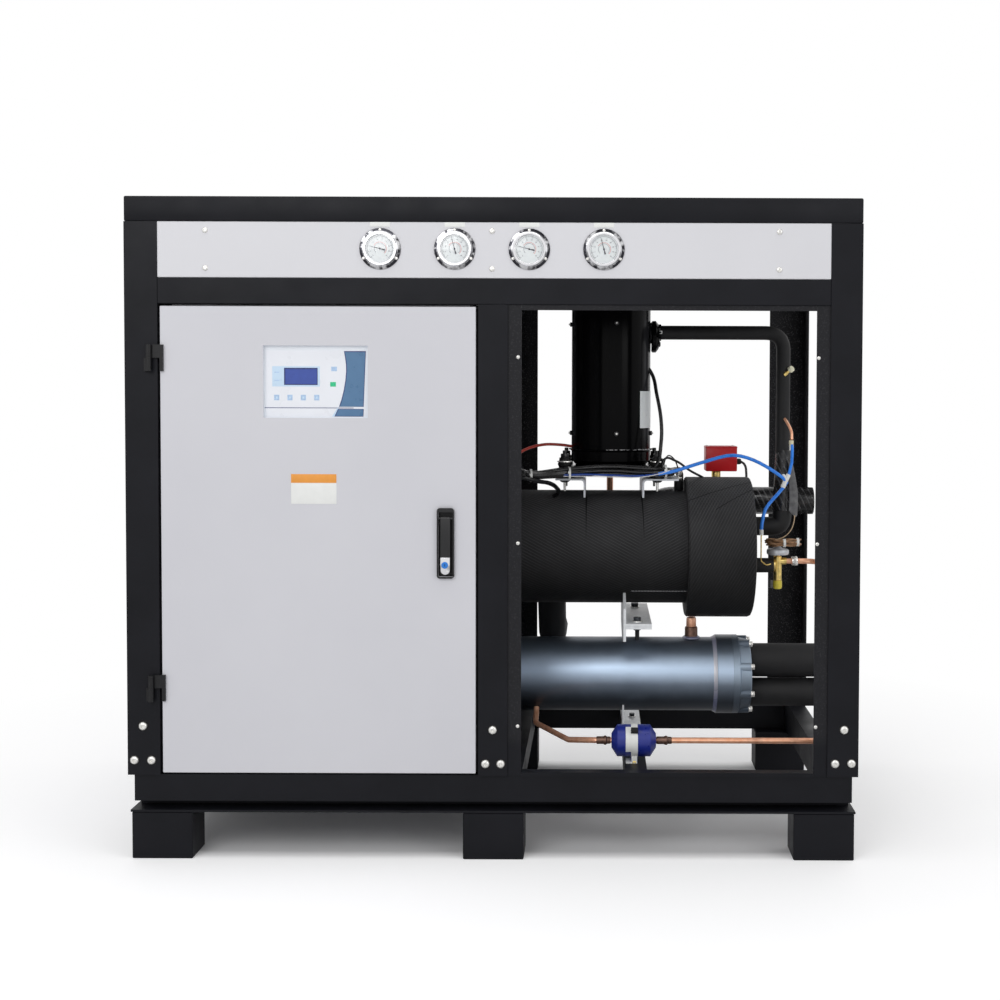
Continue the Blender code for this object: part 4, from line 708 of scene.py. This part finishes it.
def build_gauge_strips():
    """Blank white strips stuck over the gauges."""
    whole = bmesh.new()
    for index in range(4):
        x = GAUGE_MIDDLE + GAUGE_PITCH * (index - 1.5)
        put(whole, block((0.041, 0.0004, 0.0095), 0.00012), (x, FRONT + 0.0008, 1.3015))
    finished("gauge_strips", whole, ["bare_card"])


# Door

def face_place(x, y):
    """Place on the control unit's face from the grid in which its films were measured."""
    return (-0.48786 + x / GRID_STEPS, 1.07011 - y / GRID_STEPS)


def film(whole, outline, lift, finish):
    """Printed film on the control unit, a given height above its face."""
    part = sheet([face_place(x, y) for x, y in outline], 0.0002)
    put(whole, part, (0, UNIT_FACE - lift, 0), finish=finish, flat=True)


def rectangle(left, top, right, bottom):
    return [(left, top), (right, top), (right, bottom), (left, bottom)]


def build_controller_face():
    """Film, screen and keys of the control unit, without any writing."""
    whole = bmesh.new()
    film(whole, rectangle(150, 150, 1455, 1015), 0, 0)
    film(whole, rectangle(230, 358, 850, 622), 0.0002, 1)
    film(whole, rectangle(130, 896, 1290, 904), 0.0002, 5)
    edge = [(1166, 158), (1180, 240), (1192, 330), (1194, 420), (1184, 540), (1162, 670), (1132, 790),
        (1100, 884)]
    film(whole, edge + [(1422, 884), (1452, 158)], 0.0002, 5)
    film(whole, [(x + 12, y + (12 if y < 200 else 0)) for x, y in edge] + [(1416, 880), (1444, 172)], 0.0004,
        4)
    film(whole, [(1086, 912), (1040, 1012), (1418, 1012), (1423, 912)], 0.0002, 5)
    film(whole, [(1096, 918), (1054, 1006), (1412, 1006), (1416, 918)], 0.0004, 4)
    film(whole, [(1132, 790), (1100, 884), (1070, 912), (1010, 1012), (1040, 1012), (1086, 912),
        (1100, 884)], 0.0003, 1)
    for x in (287, 460, 635, 810):
        film(whole, rectangle(x - 33, 730, x + 33, 802), 0.0002, 2)
        film(whole, rectangle(x - 12, 752, x + 12, 780), 0.0004, 1)
    film(whole, rectangle(1000, 362, 1074, 420), 0.0002, 2)
    film(whole, rectangle(986, 562, 1060, 622), 0.0002, 3)
    for y in (430, 536):
        film(whole, rectangle(258, y, 322, y + 12), 0.0004, 2)
    finished("controller_film", whole, ["pale_film", "sky_film", "key_film", "green_film", "steel_film",
        "navy_film"], "door")
    screen = bmesh.new()
    film(screen, rectangle(384, 378, 822, 602), 0.0004, 1)
    film(screen, rectangle(402, 396, 812, 588), 0.0007, 0)
    finished("controller_screen", screen, ["screen_blue", "navy_film"], "door")


def build_door_card():
    """Plain card with a coloured head, stuck on the door."""
    whole = bmesh.new()
    put(whole, block((0.0926, 0.0005, 0.0609), 0.0002), (-0.3661, DOOR_FACE - 0.00025, 0.76405))
    put(whole, block((0.0926, 0.0002, 0.018), 0.0001), (-0.3661, DOOR_FACE - 0.0006, 0.7855), finish=1)
    finished("door_card", whole, ["bare_card", "amber_card"], "door")


def build_lock_insert():
    """Bright key plate in the lower end of the lever, with its blue cylinder."""
    whole = bmesh.new()
    half = 0.0094
    outline = [(half, 0.6255), (-half, 0.6255)]
    for step in range(13):
        angle = math.radians(180 + 15 * step)
        outline.append((half * math.cos(angle), 0.6 + half * math.sin(angle)))
    part = sheet(outline, 0.0014)
    front = FRONT - 0.008
    rim = [edge for edge in part.edges if all(corner.co.y < -0.001 for corner in edge.verts)]
    put(whole, rounded(part, rim, 0.0004), (-0.0972, front, 0))
    at = (-0.098, front - 0.0014, 0.61)
    lathe(whole, 24, [(0, 0.001), (0.0062, 0.001), (0.007, 0.0004), (0.007, 0)], at, TOWARDS, 1)
    lathe(whole, 24, [(0, 0.0013), (0.0028, 0.0013), (0.003, 0.001)], at, TOWARDS, 1)
    put(whole, block((0.0012, 0.0004, 0.0044)), (at[0], at[1] - 0.0014, at[2]), finish=2)
    lathe(whole, 24, [(0, 0.0008), (0.0016, 0.0006), (0.002, 0)], (-0.093, front - 0.0014, 0.5975), TOWARDS,
        3)
    finished("lock_key_plate", whole, ["bright_chrome", "lock_blue", "rubber", "bare_card"],
        "lock_lever")


# Compressor and its brackets

def on_compressor(angle, z, lift=0):
    """Place and outward direction on the compressor, by its angle from the front."""
    turn = math.radians(angle)
    out = Vector((math.sin(turn), -math.cos(turn), 0))
    return Vector((COMP_X, VESSEL_Y, z)) + out * (COMP_RADIUS + lift), out


def build_compressor_fittings():
    """Feet, seam lugs, studs, blank label and the valve's bolts and mark."""
    whole = bmesh.new()
    for z in (1.122, 0.869):
        for angle in (-82, 7, 82, 172):
            at, out = on_compressor(angle, z, -0.0005)
            put(whole, hexagon(0.01, 0.005), at, out, 1)
            lathe(whole, 12, [(0, 0.008), (0.0022, 0.0078), (0.0024, 0.004)], at, out)
    for x, y in four_corners(COMP_X, VESSEL_Y, *COMP_FOOT):
        lathe(whole, 24, [(0, 0.8045), (0.013, 0.8045), (0.0156, 0.8025), (0.016, 0.7985), (0.015, 0.7952),
            (0.013, 0.7945)], (x, y, 0), finish=2)
        lathe(whole, 24, [(0, 0.8066), (0.0172, 0.8066), (0.0176, 0.8045), (0, 0.8045)], (x, y, 0))
        lathe(whole, 24, [(0, 0.8132), (0.0118, 0.8132), (0.0128, 0.8115), (0.0132, 0.8066), (0, 0.8066)],
            (x, y, 0), finish=2)
        put(whole, hexagon(0.0185, 0.01), (x, y, 0.8132), finish=1)
        lathe(whole, 14, [(0, 0.0085), (0.0046, 0.0081), (0.005, 0)], (x, y, 0.8225), finish=1)
        lathe(whole, 24, [(0.015, 0), (0.018, 0.002), (0.019, 0.006), (0.0176, 0.01), (0.016, 0.012),
            (0.0178, 0.0145), (0.018, 0.019), (0.015, 0.021)], (x, y, 0.7672), finish=2)
        lathe(whole, 20, [(0, 0), (0.0116, 0), (0.0112, 0.0022), (0.0072, 0.005), (0, 0.005)],
            (x, y, BRACKET_TOP - 0.0042), DOWN, 1)
        lathe(whole, 12, [(0, 0.0255), (0.0028, 0.025), (0.0032, 0)], (x, y, BRACKET_TOP - 0.0042), DOWN)
    for angle in (-88, 88, 172):
        at, out = on_compressor(angle, 0.8312, -0.003)
        put(whole, block((0.018, 0.011, 0.0036), 0.0008), at, (0, 0, 1), 1)
    finished("compressor_fasteners", whole, ["zinc", "cable_black", "rubber"])
    label = bmesh.new()
    thin = COMP_RADIUS + 0.0006
    section = [(COMP_RADIUS - 0.0002, 0.8815), (thin, 0.8815), (thin, 0.9669), (COMP_RADIUS - 0.0002, 0.9669)]
    put(label, arched(section, -44, 6, 16), (COMP_X, VESSEL_Y, 0))
    finished("compressor_label", label, ["dial_white"])
    mark = bmesh.new()
    put(mark, block((0.015, 0.0006, 0.0078), 0.0002),
        (0.355, VESSEL_Y - SUCTION_RADIUS - 0.0024, SUCTION_HEIGHT))
    for angle in range(0, 360, 90):
        turn = math.radians(angle + 45)
        at = (COMP_X + COMP_RADIUS + 0.0165, VESSEL_Y + 0.0262 * math.cos(turn),
            SUCTION_HEIGHT - 0.0096 + 0.0262 * math.sin(turn))
        put(mark, hexagon(0.01, 0.006), at, RIGHTWARDS, 1)
    finished("service_valve_fittings", mark, ["bare_card", "cable_black"])


def build_wiring():
    """Thin cables round the compressor, held by the bundle and the terminals."""
    wire("compressor_cable", [(0.318, 0.4, 1.03), (0.335, 0.398, 1.0138), (0.3496, 0.375, 0.9577),
        (0.3592, 0.35, 0.8889), (0.3575, 0.335, 0.845), (0.35, 0.318, 0.806), (0.338, 0.302, 0.79)], 0.0042,
        "cable_black")
    wire("red_lead", [(0.0003, 0.2, 0.79), (0.01, 0.26, 0.8), (0.0329, 0.34, 0.8246), (0.0824, 0.4, 0.8408),
        (0.125, 0.415, 0.8405), (COMP_X - COMP_RADIUS + 0.0005, VESSEL_DEPTH - 0.004, 0.837)], 0.0034,
        "red_rubber")
    wire("sensor_lead_1", [(0.356, 0.305, 0.785), (0.3688, 0.33, 0.8137), (0.39, 0.34, 0.808),
        (0.4272, 0.38, 0.783), (0.46, 0.415, 0.765)], 0.0028, "cable_black")
    wire("sensor_lead_2", [(0.36, 0.31, 0.786), (0.373, 0.345, 0.818), (0.388, 0.372, 0.812),
        (0.399, 0.4, 0.793), (0.4035, 0.418, 0.777)], 0.0015, "cable_black")
    wire("loose_cable_end", [(0.04, 0.19, 0.78), (0.0795, 0.24, 0.766), (0.104, 0.29, 0.758),
        (0.1174, 0.318, 0.748), (0.123, 0.345, 0.733), (0.112, 0.362, 0.724)], 0.005, "cable_black")
    cables = ((0.288, 0.01, 0.004), (0.286, 0.001, 0.006), (0.29, -0.006, 0.003), (0.3, 0.012, 0.007))
    for index, (depth, rise, side) in enumerate(cables, 1):
        wire("control_cable_%d" % index, [(0.0003, 0.15 + side, 0.79 + rise * 0.6),
            (0.026, 0.15 + side, 0.7905 + rise * 0.6), (0.07, 0.238 + side, 0.778 + rise * 0.6),
            (0.1487, depth + side * 0.5, 0.78 + rise), (0.2406, depth, 0.786 + rise),
            (0.325, depth + side * 0.5, 0.782 + rise), (0.37, 0.308 + side, 0.783 + rise * 0.6),
            (0.382, 0.34 + side, 0.783 + rise * 0.4)], 0.0034, "cable_black")
    wire("blue_lead", [(0.1165, 0.284, 0.779), (0.15, 0.284, 0.7775), (0.184, 0.283, 0.7785),
        (0.2406, 0.283, 0.777), (0.3, 0.283, 0.7755), (0.353, 0.29, 0.7795)], 0.0025, "lead_blue")
    wire("pale_lead", [(0.09, 0.262, 0.776), (0.13, 0.283, 0.7745), (0.184, 0.28, 0.7745),
        (0.2406, 0.279, 0.7735), (0.3, 0.279, 0.7725), (0.353, 0.28, 0.781), (0.376, 0.285, 0.789)], 0.0009,
        "bare_card")
    whole = bmesh.new()
    for x, depth, z in ((0.1487, 0.294, 0.781), (0.366, 0.301, 0.786), (0.065, 0.235, 0.779)):
        put(whole, band(0.0138, 0.0146, 0.0022, 20), behind(x, depth, z), (1, 0.15, 0))
        put(whole, block((0.005, 0.0046, 0.006), 0.0008), behind(x, depth - 0.0155, z + 0.002))
    finished("cable_ties", whole, ["bare_card"])


def build_sensor_well():
    """Screwed sensor on top of the evaporator, with its black cap."""
    whole = bmesh.new()
    base = (0.4038, VESSEL_Y, EVAP_HEIGHT + EVAP_RADIUS - 0.001)
    lathe(whole, 24, [(0, 0.0255), (0.0085, 0.0255), (0.0108, 0.023), (0.0112, 0.006), (0.01, 0.003),
        (0.0096, 0)], base, finish=1)
    put(whole, hexagon(0.015, 0.006), (base[0], base[1], base[2] + 0.0255))
    lathe(whole, 24, [(0, 0.048), (0.005, 0.0475), (0.007, 0.0455), (0.007, 0.037), (0.0056, 0.035),
        (0.0056, 0.031)], base)
    finished("sensor_well", whole, ["zinc", "rubber"])


# Right end of the bay

def build_suction_details():
    """Taped joint, service tap and hose fittings on the suction riser."""
    whole = bmesh.new()
    rings = [(x, VESSEL_Y, z, wide, deep) for x, z, wide, deep in ((0.65, 0.83, 0.0174, 0.0174),
        (0.6495, 0.815, 0.0185, 0.018), (0.65, 0.78, 0.0205, 0.019), (0.65, 0.74, 0.0226, 0.0212),
        (0.6485, 0.705, 0.024, 0.0236), (0.647, 0.688, 0.0236, 0.024))]
    put(whole, lofted(rings, 28))
    finished("suction_joint_tape", whole, ["lapped_tape"], angle=50)
    flap = sheet([(0.661, 0.811), (0.6655, 0.8085), (0.6695, 0.793), (0.6745, 0.77), (0.679, 0.743),
        (0.6812, 0.729), (0.6806, 0.7), (0.6798, 0.6789), (0.676, 0.673), (0.669, 0.679), (0.6595, 0.689),
        (0.661, 0.72), (0.66, 0.75), (0.659, 0.785)], 0.004)
    whole = bmesh.new()
    put(whole, rounded(flap, flap.edges[:], 0.0012), (0, FRONT + 0.3955, 0))
    finished("foam_flap", whole, ["grey_tape"], angle=50)
    whole = bmesh.new()
    lathe(whole, 16, [(0.005, 0), (0.005, 0.008), (0.0036, 0.009), (0.0036, 0.015), (0.0046, 0.0155),
        (0.0046, 0.023), (0.003, 0.024), (0, 0.024)], behind(0.648, 0.406, 1.006), (0.75, -0.1, 0.62))
    lathe(whole, 18, [(0, 0), (0.0066, 0), (0.0075, 0.001), (0.0075, 0.0078), (0.0062, 0.009), (0, 0.009)],
        behind(0.661, 0.402, 1.017), (0.55, -0.62, 0.55), 1)
    finished("charging_port", whole, ["brass", "pale_cap"])
    wire("service_tap", [(0.65, 0.4034, 0.903), (0.6535, 0.392, 0.896), (0.662, 0.378, 0.874),
        (0.6625, 0.3722, 0.856)], 0.0034, "copper")
    whole = bmesh.new()
    lathe(whole, 16, [(0, 0), (0.005, 0), (0.0054, 0.001), (0.0054, 0.0085), (0.0046, 0.01), (0.0046, 0.012),
        (0, 0.012)], behind(0.6612, 0.372, 0.854), (0.04, 0.02, -1), 1)
    lathe(whole, 16, [(0, 0), (0.005, 0), (0.0052, 0.001), (0.0052, 0.012), (0, 0.012)],
        behind(0.6617, 0.3724, 0.843), (0.04, 0.02, -1))
    for far, long in (((0.656, 0.364, 0.779), 0.015), ((0.6395, 0.361, 0.774), 0.015),
            ((0.64, 0.362, 0.743), 0.016)):
        hub = Vector(behind(0.6476, 0.361, 0.761))
        arm = Vector(behind(*far)) - hub
        lathe(whole, 16, [(0, -0.002), (0.0056, -0.001), (0.0056, long), (0.005, long + 0.001),
            (0, long + 0.001)], hub, arm)
    lathe(whole, 16, [(0, 0), (0.0052, 0), (0.0052, 0.012), (0.004, 0.013), (0, 0.013)],
        behind(0.5905, 0.35, 0.636))
    finished("hose_fittings", whole, ["bare_card", "cream_plastic"])


def build_valve_details():
    """Coiled capillary, power head, caps and joint wraps of the expansion valve."""
    coil = []
    turns = 5
    for step in range(turns * 12 + 1):
        angle = math.radians(30 * step)
        drift = step / (turns * 12)
        reach = 0.034 + 0.0035 * math.sin(step * 1.7)
        coil.append((0.647 + reach * math.cos(angle) * 1.12,
            VALVE_DEPTH - 0.004 + reach * 0.62 * math.sin(angle),
            0.6065 + 0.015 * drift + 0.0012 * math.sin(step * 2.3)))
    wire("capillary_coil", coil, 0.0019, "brown_wire")
    wire("capillary_lead", [(0.6734, 0.39, 0.678), (0.6712, 0.388, 0.663), (0.664, 0.386, 0.644),
        (0.6493, 0.386, 0.629), (0.634, 0.384, 0.623), (0.618, 0.386, 0.618)], 0.0012, "tan_wire")
    whole = bmesh.new()
    lathe(whole, 28, [(0.0238, 0), (0.0256, 0.0018), (0.0262, 0.006), (0.0256, 0.0104), (0.0236, 0.0126),
        (0.012, 0.0146), (0.0085, 0.018), (0.004, 0.0196), (0, 0.0196)],
        (VALVE_X, VALVE_Y, VALVE_HEIGHT + 0.0205), finish=4)
    for x, z in ((0.648, 0.6145), (0.679, 0.617)):
        put(whole, band(0.0092, 0.0098, 0.0028, 18), (x, VALVE_Y - 0.022, z), RIGHTWARDS, 1)
    lathe(whole, 24, [(0, 0), (0.0096, 0), (0.0104, 0.0018), (0.0104, 0.015), (0.009, 0.019),
        (0.005, 0.0205), (0, 0.0205)], (VALVE_X, VALVE_Y, VALVE_HEIGHT - 0.0405), DOWN, 2)
    lathe(whole, 20, [(0.0105, 0), (0.0109, 0.001), (0.0109, 0.012), (0.0105, 0.013)],
        (VALVE_X + 0.033, VALVE_Y, VALVE_HEIGHT + 0.005), (1, 0, 0.08))
    lathe(whole, 16, [(0.006, 0), (0.0064, 0.001), (0.0064, 0.017), (0.0048, 0.019), (0, 0.019)],
        (VALVE_X - 0.014, VALVE_Y + 0.004, VALVE_HEIGHT - 0.04), DOWN, 3)
    finished("valve_head_fittings", whole, ["zinc", "bare_card", "yellow_cap", "grey_tape", "galvanised"])
    whole = bmesh.new()
    lathe(whole, 24, [(0.015, 0), (0.0168, 0.0016), (0.0174, 0.012), (0.017, 0.051), (0.015, 0.0542)],
        (0.5715, VALVE_Y, VALVE_HEIGHT - 0.005), RIGHTWARDS)
    finished("outlet_sleeve", whole, ["foam"], angle=50)


def build_switch_details():
    """Brass hexagon, lid line, gland and lead of the flow switch."""
    x = SWITCH_X - 0.0108
    low = 0.73
    whole = bmesh.new()
    put(whole, hexagon(0.032, 0.0215, 0.001), (x, CHILLED_Y, low))
    lathe(whole, 20, [(0.0108, 0), (0.0112, 0.001), (0.0112, 0.023), (0.0108, 0.024)],
        (x, CHILLED_Y, low + 0.0165))
    finished("switch_hexagon", whole, ["brass"])
    whole = bmesh.new()
    put(whole, block((0.0784, 0.0608, 0.0056), 0.0018), (SWITCH_X, CHILLED_Y, 0.829))
    lathe(whole, 16, [(0, 0), (0.0075, 0), (0.0075, 0.009), (0.006, 0.013), (0, 0.013)],
        (0.558, CHILLED_Y, 0.793), RIGHTWARDS, 1)
    for x, y in four_corners(SWITCH_X, CHILLED_Y, 0.032, 0.023):
        put(whole, socket_head(0.0028), (x, y, 0.8316), finish=2)
    finished("switch_lid", whole, ["red_plastic", "rubber", "zinc"])
    wire("switch_lead", [(0.57, CHILLED_DEPTH, 0.793), (0.579, CHILLED_DEPTH - 0.004, 0.786),
        (0.583, CHILLED_DEPTH - 0.012, 0.764), (0.58, CHILLED_DEPTH - 0.024, 0.736)], 0.003, "cable_black")


# Vessels

def build_vessel_details():
    """Bolts of the saddle plates, the weld behind the condenser's ring and the bolts of its head."""
    whole = bmesh.new()
    for web in (-0.75 * 0.613, 0.75 * 0.3627):
        x = web + 0.032
        for depth in (0.304, 0.512):
            at = (x, FRONT + depth, PLATE_TOP)
            lathe(whole, 20, [(0, 0.0016), (0.0118, 0.0016), (0.0122, 0)], at)
            put(whole, hexagon(0.017, 0.0085), (at[0], at[1], at[2] + 0.0016), finish=1)
            low = (at[0], at[1], PLATE_UNDER)
            lathe(whole, 20, [(0, 0), (0.012, 0), (0.0118, 0.002), (0.008, 0.007), (0, 0.007)], low, DOWN, 1)
            lathe(whole, 14, [(0, 0.03), (0.0048, 0.0295), (0.0052, 0)], low, DOWN, 2)
        for depth in (0.345, 0.495):
            at = (web + 0.026, FRONT + depth, 0.1788)
            lathe(whole, 20, [(0, 0.0014), (0.0085, 0.0014), (0.0088, 0)], at)
            put(whole, hexagon(0.0125, 0.007), (at[0], at[1], at[2] + 0.0014), finish=1)
    finished("saddle_bolts", whole, ["zinc", "dark_steel", "rubber"])
    whole = bmesh.new()
    lathe(whole, 56, [(COND_RADIUS - 0.001, -0.0018), (COND_RADIUS + 0.0007, -0.0016),
        (COND_RADIUS + 0.0026, 0.0028), (RING_RADIUS - 0.001, 0.0062), (RING_RADIUS - 0.0014, 0.0074),
        (COND_RADIUS - 0.001, 0.0074)], (0.4842, VESSEL_Y, COND_HEIGHT), RIGHTWARDS)
    finished("ring_weld", whole, ["weld_bead"])
    whole = bmesh.new()
    boss = 0.0424 * 0.22
    reach = RING_RADIUS - boss
    for step in range(8):
        angle = 2 * math.pi * (step + 0.5) / 8
        at = (0.568, VESSEL_Y + reach * math.cos(angle), COND_HEIGHT + reach * math.sin(angle))
        lathe(whole, 18, [(0, 0.0016), (0.008, 0.0016), (0.0084, 0)], at, RIGHTWARDS)
        put(whole, hexagon(0.012, 0.0072), (at[0] + 0.0016, at[1], at[2]), RIGHTWARDS)
    finished("head_bolts", whole, ["zinc"])
    whole = bmesh.new()
    stub = (0.4352, VESSEL_Y, COND_HEIGHT + COND_RADIUS - 0.001)
    lathe(whole, 28, [(0.0215, 0), (0.021, 0.002), (0.018, 0.0045), (0.0158, 0.005)], stub)
    lathe(whole, 28, [(0.0158, 0.004), (0.0152, 0.006), (0.015, 0.0235), (0.0142, 0.0262), (0.012, 0.0275),
        (0.0104, 0.0275)], stub, finish=1)
    lathe(whole, 28, [(0.0112, 0.027), (0.0118, 0.028), (0.0116, 0.042), (0.011, 0.048), (0.008, 0.0485)],
        stub, finish=2)
    finished("discharge_collar", whole, ["weld_bead", "burnt_copper", "copper"])


def build_drier_details():
    """Strap with its buckle and blank label, clip plate and brazed joints of the filter drier."""
    whole = bmesh.new()
    half = 0.0071
    outer = DRIER_RADIUS + 0.0022
    lathe(whole, 40, [(DRIER_RADIUS, -half), (outer, -half), (outer, half), (DRIER_RADIUS, half)],
        (STRAP_X, DRIER_Y, DRIER_HEIGHT), RIGHTWARDS)
    for z in (0.244, 0.239):
        put(whole, block((0.016, 0.003, 0.0028), 0.0006), (STRAP_X, DRIER_Y - outer + 0.007, z + 0.003),
            finish=1)
    put(whole, block((0.015, 0.005, 0.012), 0.001), (STRAP_X, DRIER_Y - 0.03, DRIER_HEIGHT + 0.029), finish=1)
    put(whole, block((0.012, 0.0016, 0.03), 0.0004), (STRAP_X, DRIER_Y - 0.0222, 0.184))
    put(whole, block((0.024, 0.04, 0.002), 0.0005), (STRAP_X - 0.006, DRIER_Y - 0.005, 0.1758))
    put(whole, socket_head(0.0045), (STRAP_X, DRIER_Y - 0.0232, 0.176), TOWARDS, 2)
    finished("drier_strap", whole, ["bare_card", "rubber", "brass"])
    label = bmesh.new()
    thin = DRIER_RADIUS + 0.0008
    section = [(DRIER_RADIUS - 0.0001, 0), (thin, 0), (thin, 0.0115), (DRIER_RADIUS - 0.0001, 0.0115)]
    strip = arched(section, -30, 68, 16)
    turn = Matrix(((0, 0, 1), (-1, 0, 0), (0, 1, 0))).to_4x4()
    bmesh.ops.transform(strip, matrix=turn, verts=strip.verts)
    put(label, strip, (0.2742, DRIER_Y, DRIER_HEIGHT))
    finished("drier_label", label, ["bare_card"])
    joints = bmesh.new()
    for x, long in ((0.212, 0.03), (0.3402, 0.033)):
        lathe(joints, 20, [(0.0064, 0), (0.0082, 0.0008), (0.0082, long * 0.5), (0.0098, long * 0.58),
            (0.0098, long * 0.68), (0.0078, long * 0.75), (0.0076, long - 0.001), (0.0064, long)],
            (x, DRIER_Y, DRIER_HEIGHT), RIGHTWARDS)
    finished("drier_joints", joints, ["burnt_copper"])


# Studio

def build_floor():
    """Pale paper, lit a little beyond the machine's outline and fading to white farther out."""
    grid = bmesh.new()
    bmesh.ops.create_grid(grid, x_segments=1, y_segments=1, size=30)
    mesh = bpy.data.meshes.new("studio_floor")
    grid.to_mesh(mesh)
    grid.free()
    paper = Finish("pale_paper", (0.86, 0.86, 0.87), 0.9)
    tree = paper.tree
    camera = Value(tree.nodes.new("ShaderNodeLightPath").outputs["Is Camera Ray"])
    lift = tree.nodes.new("ShaderNodeEmission")
    both = tree.nodes.new("ShaderNodeAddShader")
    tree.links.new(paper.shader.outputs["BSDF"], both.inputs[0])
    tree.links.new(lift.outputs["Emission"], both.inputs[1])
    beyond = (abs(paper.x) - 0.745).step("MAXIMUM", abs(paper.y) - 0.362)
    tree.links.new((beyond.spread(-0.05, 0, 0, 0.3) * camera).socket, lift.inputs["Strength"])
    reach = (paper.x * paper.x + paper.y * paper.y) ** 0.5
    either = tree.nodes.new("ShaderNodeMixShader")
    tree.links.new((reach.spread(1, 1.9) * camera).socket, either.inputs[0])
    tree.links.new(both.outputs[0], either.inputs[1])
    tree.links.new(tree.nodes.new("ShaderNodeEmission").outputs[0], either.inputs[2])
    tree.links.new(either.outputs[0], tree.nodes["Material Output"].inputs["Surface"])
    mesh.materials.append(FINISHES["pale_paper"])
    placed("studio_floor", mesh)


def area_light(name, place, height, size, power):
    """Soft panel that is aimed at a height over the machine's middle."""
    light = bpy.data.lights.new(name, "AREA")
    light.shape = "RECTANGLE"
    light.size, light.size_y = size
    light.energy = power
    lamp = placed(name, light)
    lamp.location = place
    lamp.rotation_euler = (Vector((0, 0, height)) - Vector(place)).to_track_quat("-Z", "Y").to_euler()


def build_light():
    """White room, dimmer for the light that it sends than where it is seen or mirrored, and three panels."""
    world = bpy.data.worlds.new("studio")
    bpy.context.scene.world = world
    world.use_nodes = True
    tree = world.node_tree
    room = tree.nodes["Background"]
    room.inputs["Color"].default_value = (1, 1, 1, 1)
    path = tree.nodes.new("ShaderNodeLightPath")
    seen = Value(path.outputs["Is Camera Ray"])
    for ray in ("Is Glossy Ray", "Is Transmission Ray"):
        seen = seen.step("MAXIMUM", Value(path.outputs[ray]))
    tree.links.new(seen.spread(0, 1, 0.55, 1).socket, room.inputs["Strength"])
    area_light("front_panel", (-1.3, -3.2, 2.3), 0.6, (2.2, 1.6), 34)
    area_light("right_panel", (2.6, -2.4, 1.8), 0.6, (1.6, 1.6), 14)
    area_light("roof_panel", (0, -0.2, 3.4), 0.5, (3, 2.2), 30)


def build_camera():
    data = bpy.data.cameras.new("photograph")
    data.sensor_width = 36
    data.lens = LENS
    data.shift_x = -0.097
    data.shift_y = -0.0615
    camera = placed("photograph", data)
    turn = Matrix.Rotation(math.radians(90) - PITCH, 4, "X") @ Matrix.Rotation(ROLL, 4, "Z")
    camera.matrix_world = Matrix.Translation((CAMERA_X, FRONT - CAMERA_BEFORE, CAMERA_HEIGHT)) @ turn
    bpy.context.scene.camera = camera


build_camera()
build_floor()
build_light()
dress_solids()
build_frame_bolts()
build_panel_screws()
for index, needle in enumerate((166, 105, 166, 105), 1):
    build_gauge_face(index, needle)
build_gauge_strips()
build_controller_face()
build_door_card()
build_lock_insert()
build_compressor_fittings()
build_wiring()
build_sensor_well()
build_suction_details()
build_valve_details()
build_switch_details()
build_vessel_details()
build_drier_details()

bpy.context.scene.view_settings.view_transform = "Standard"
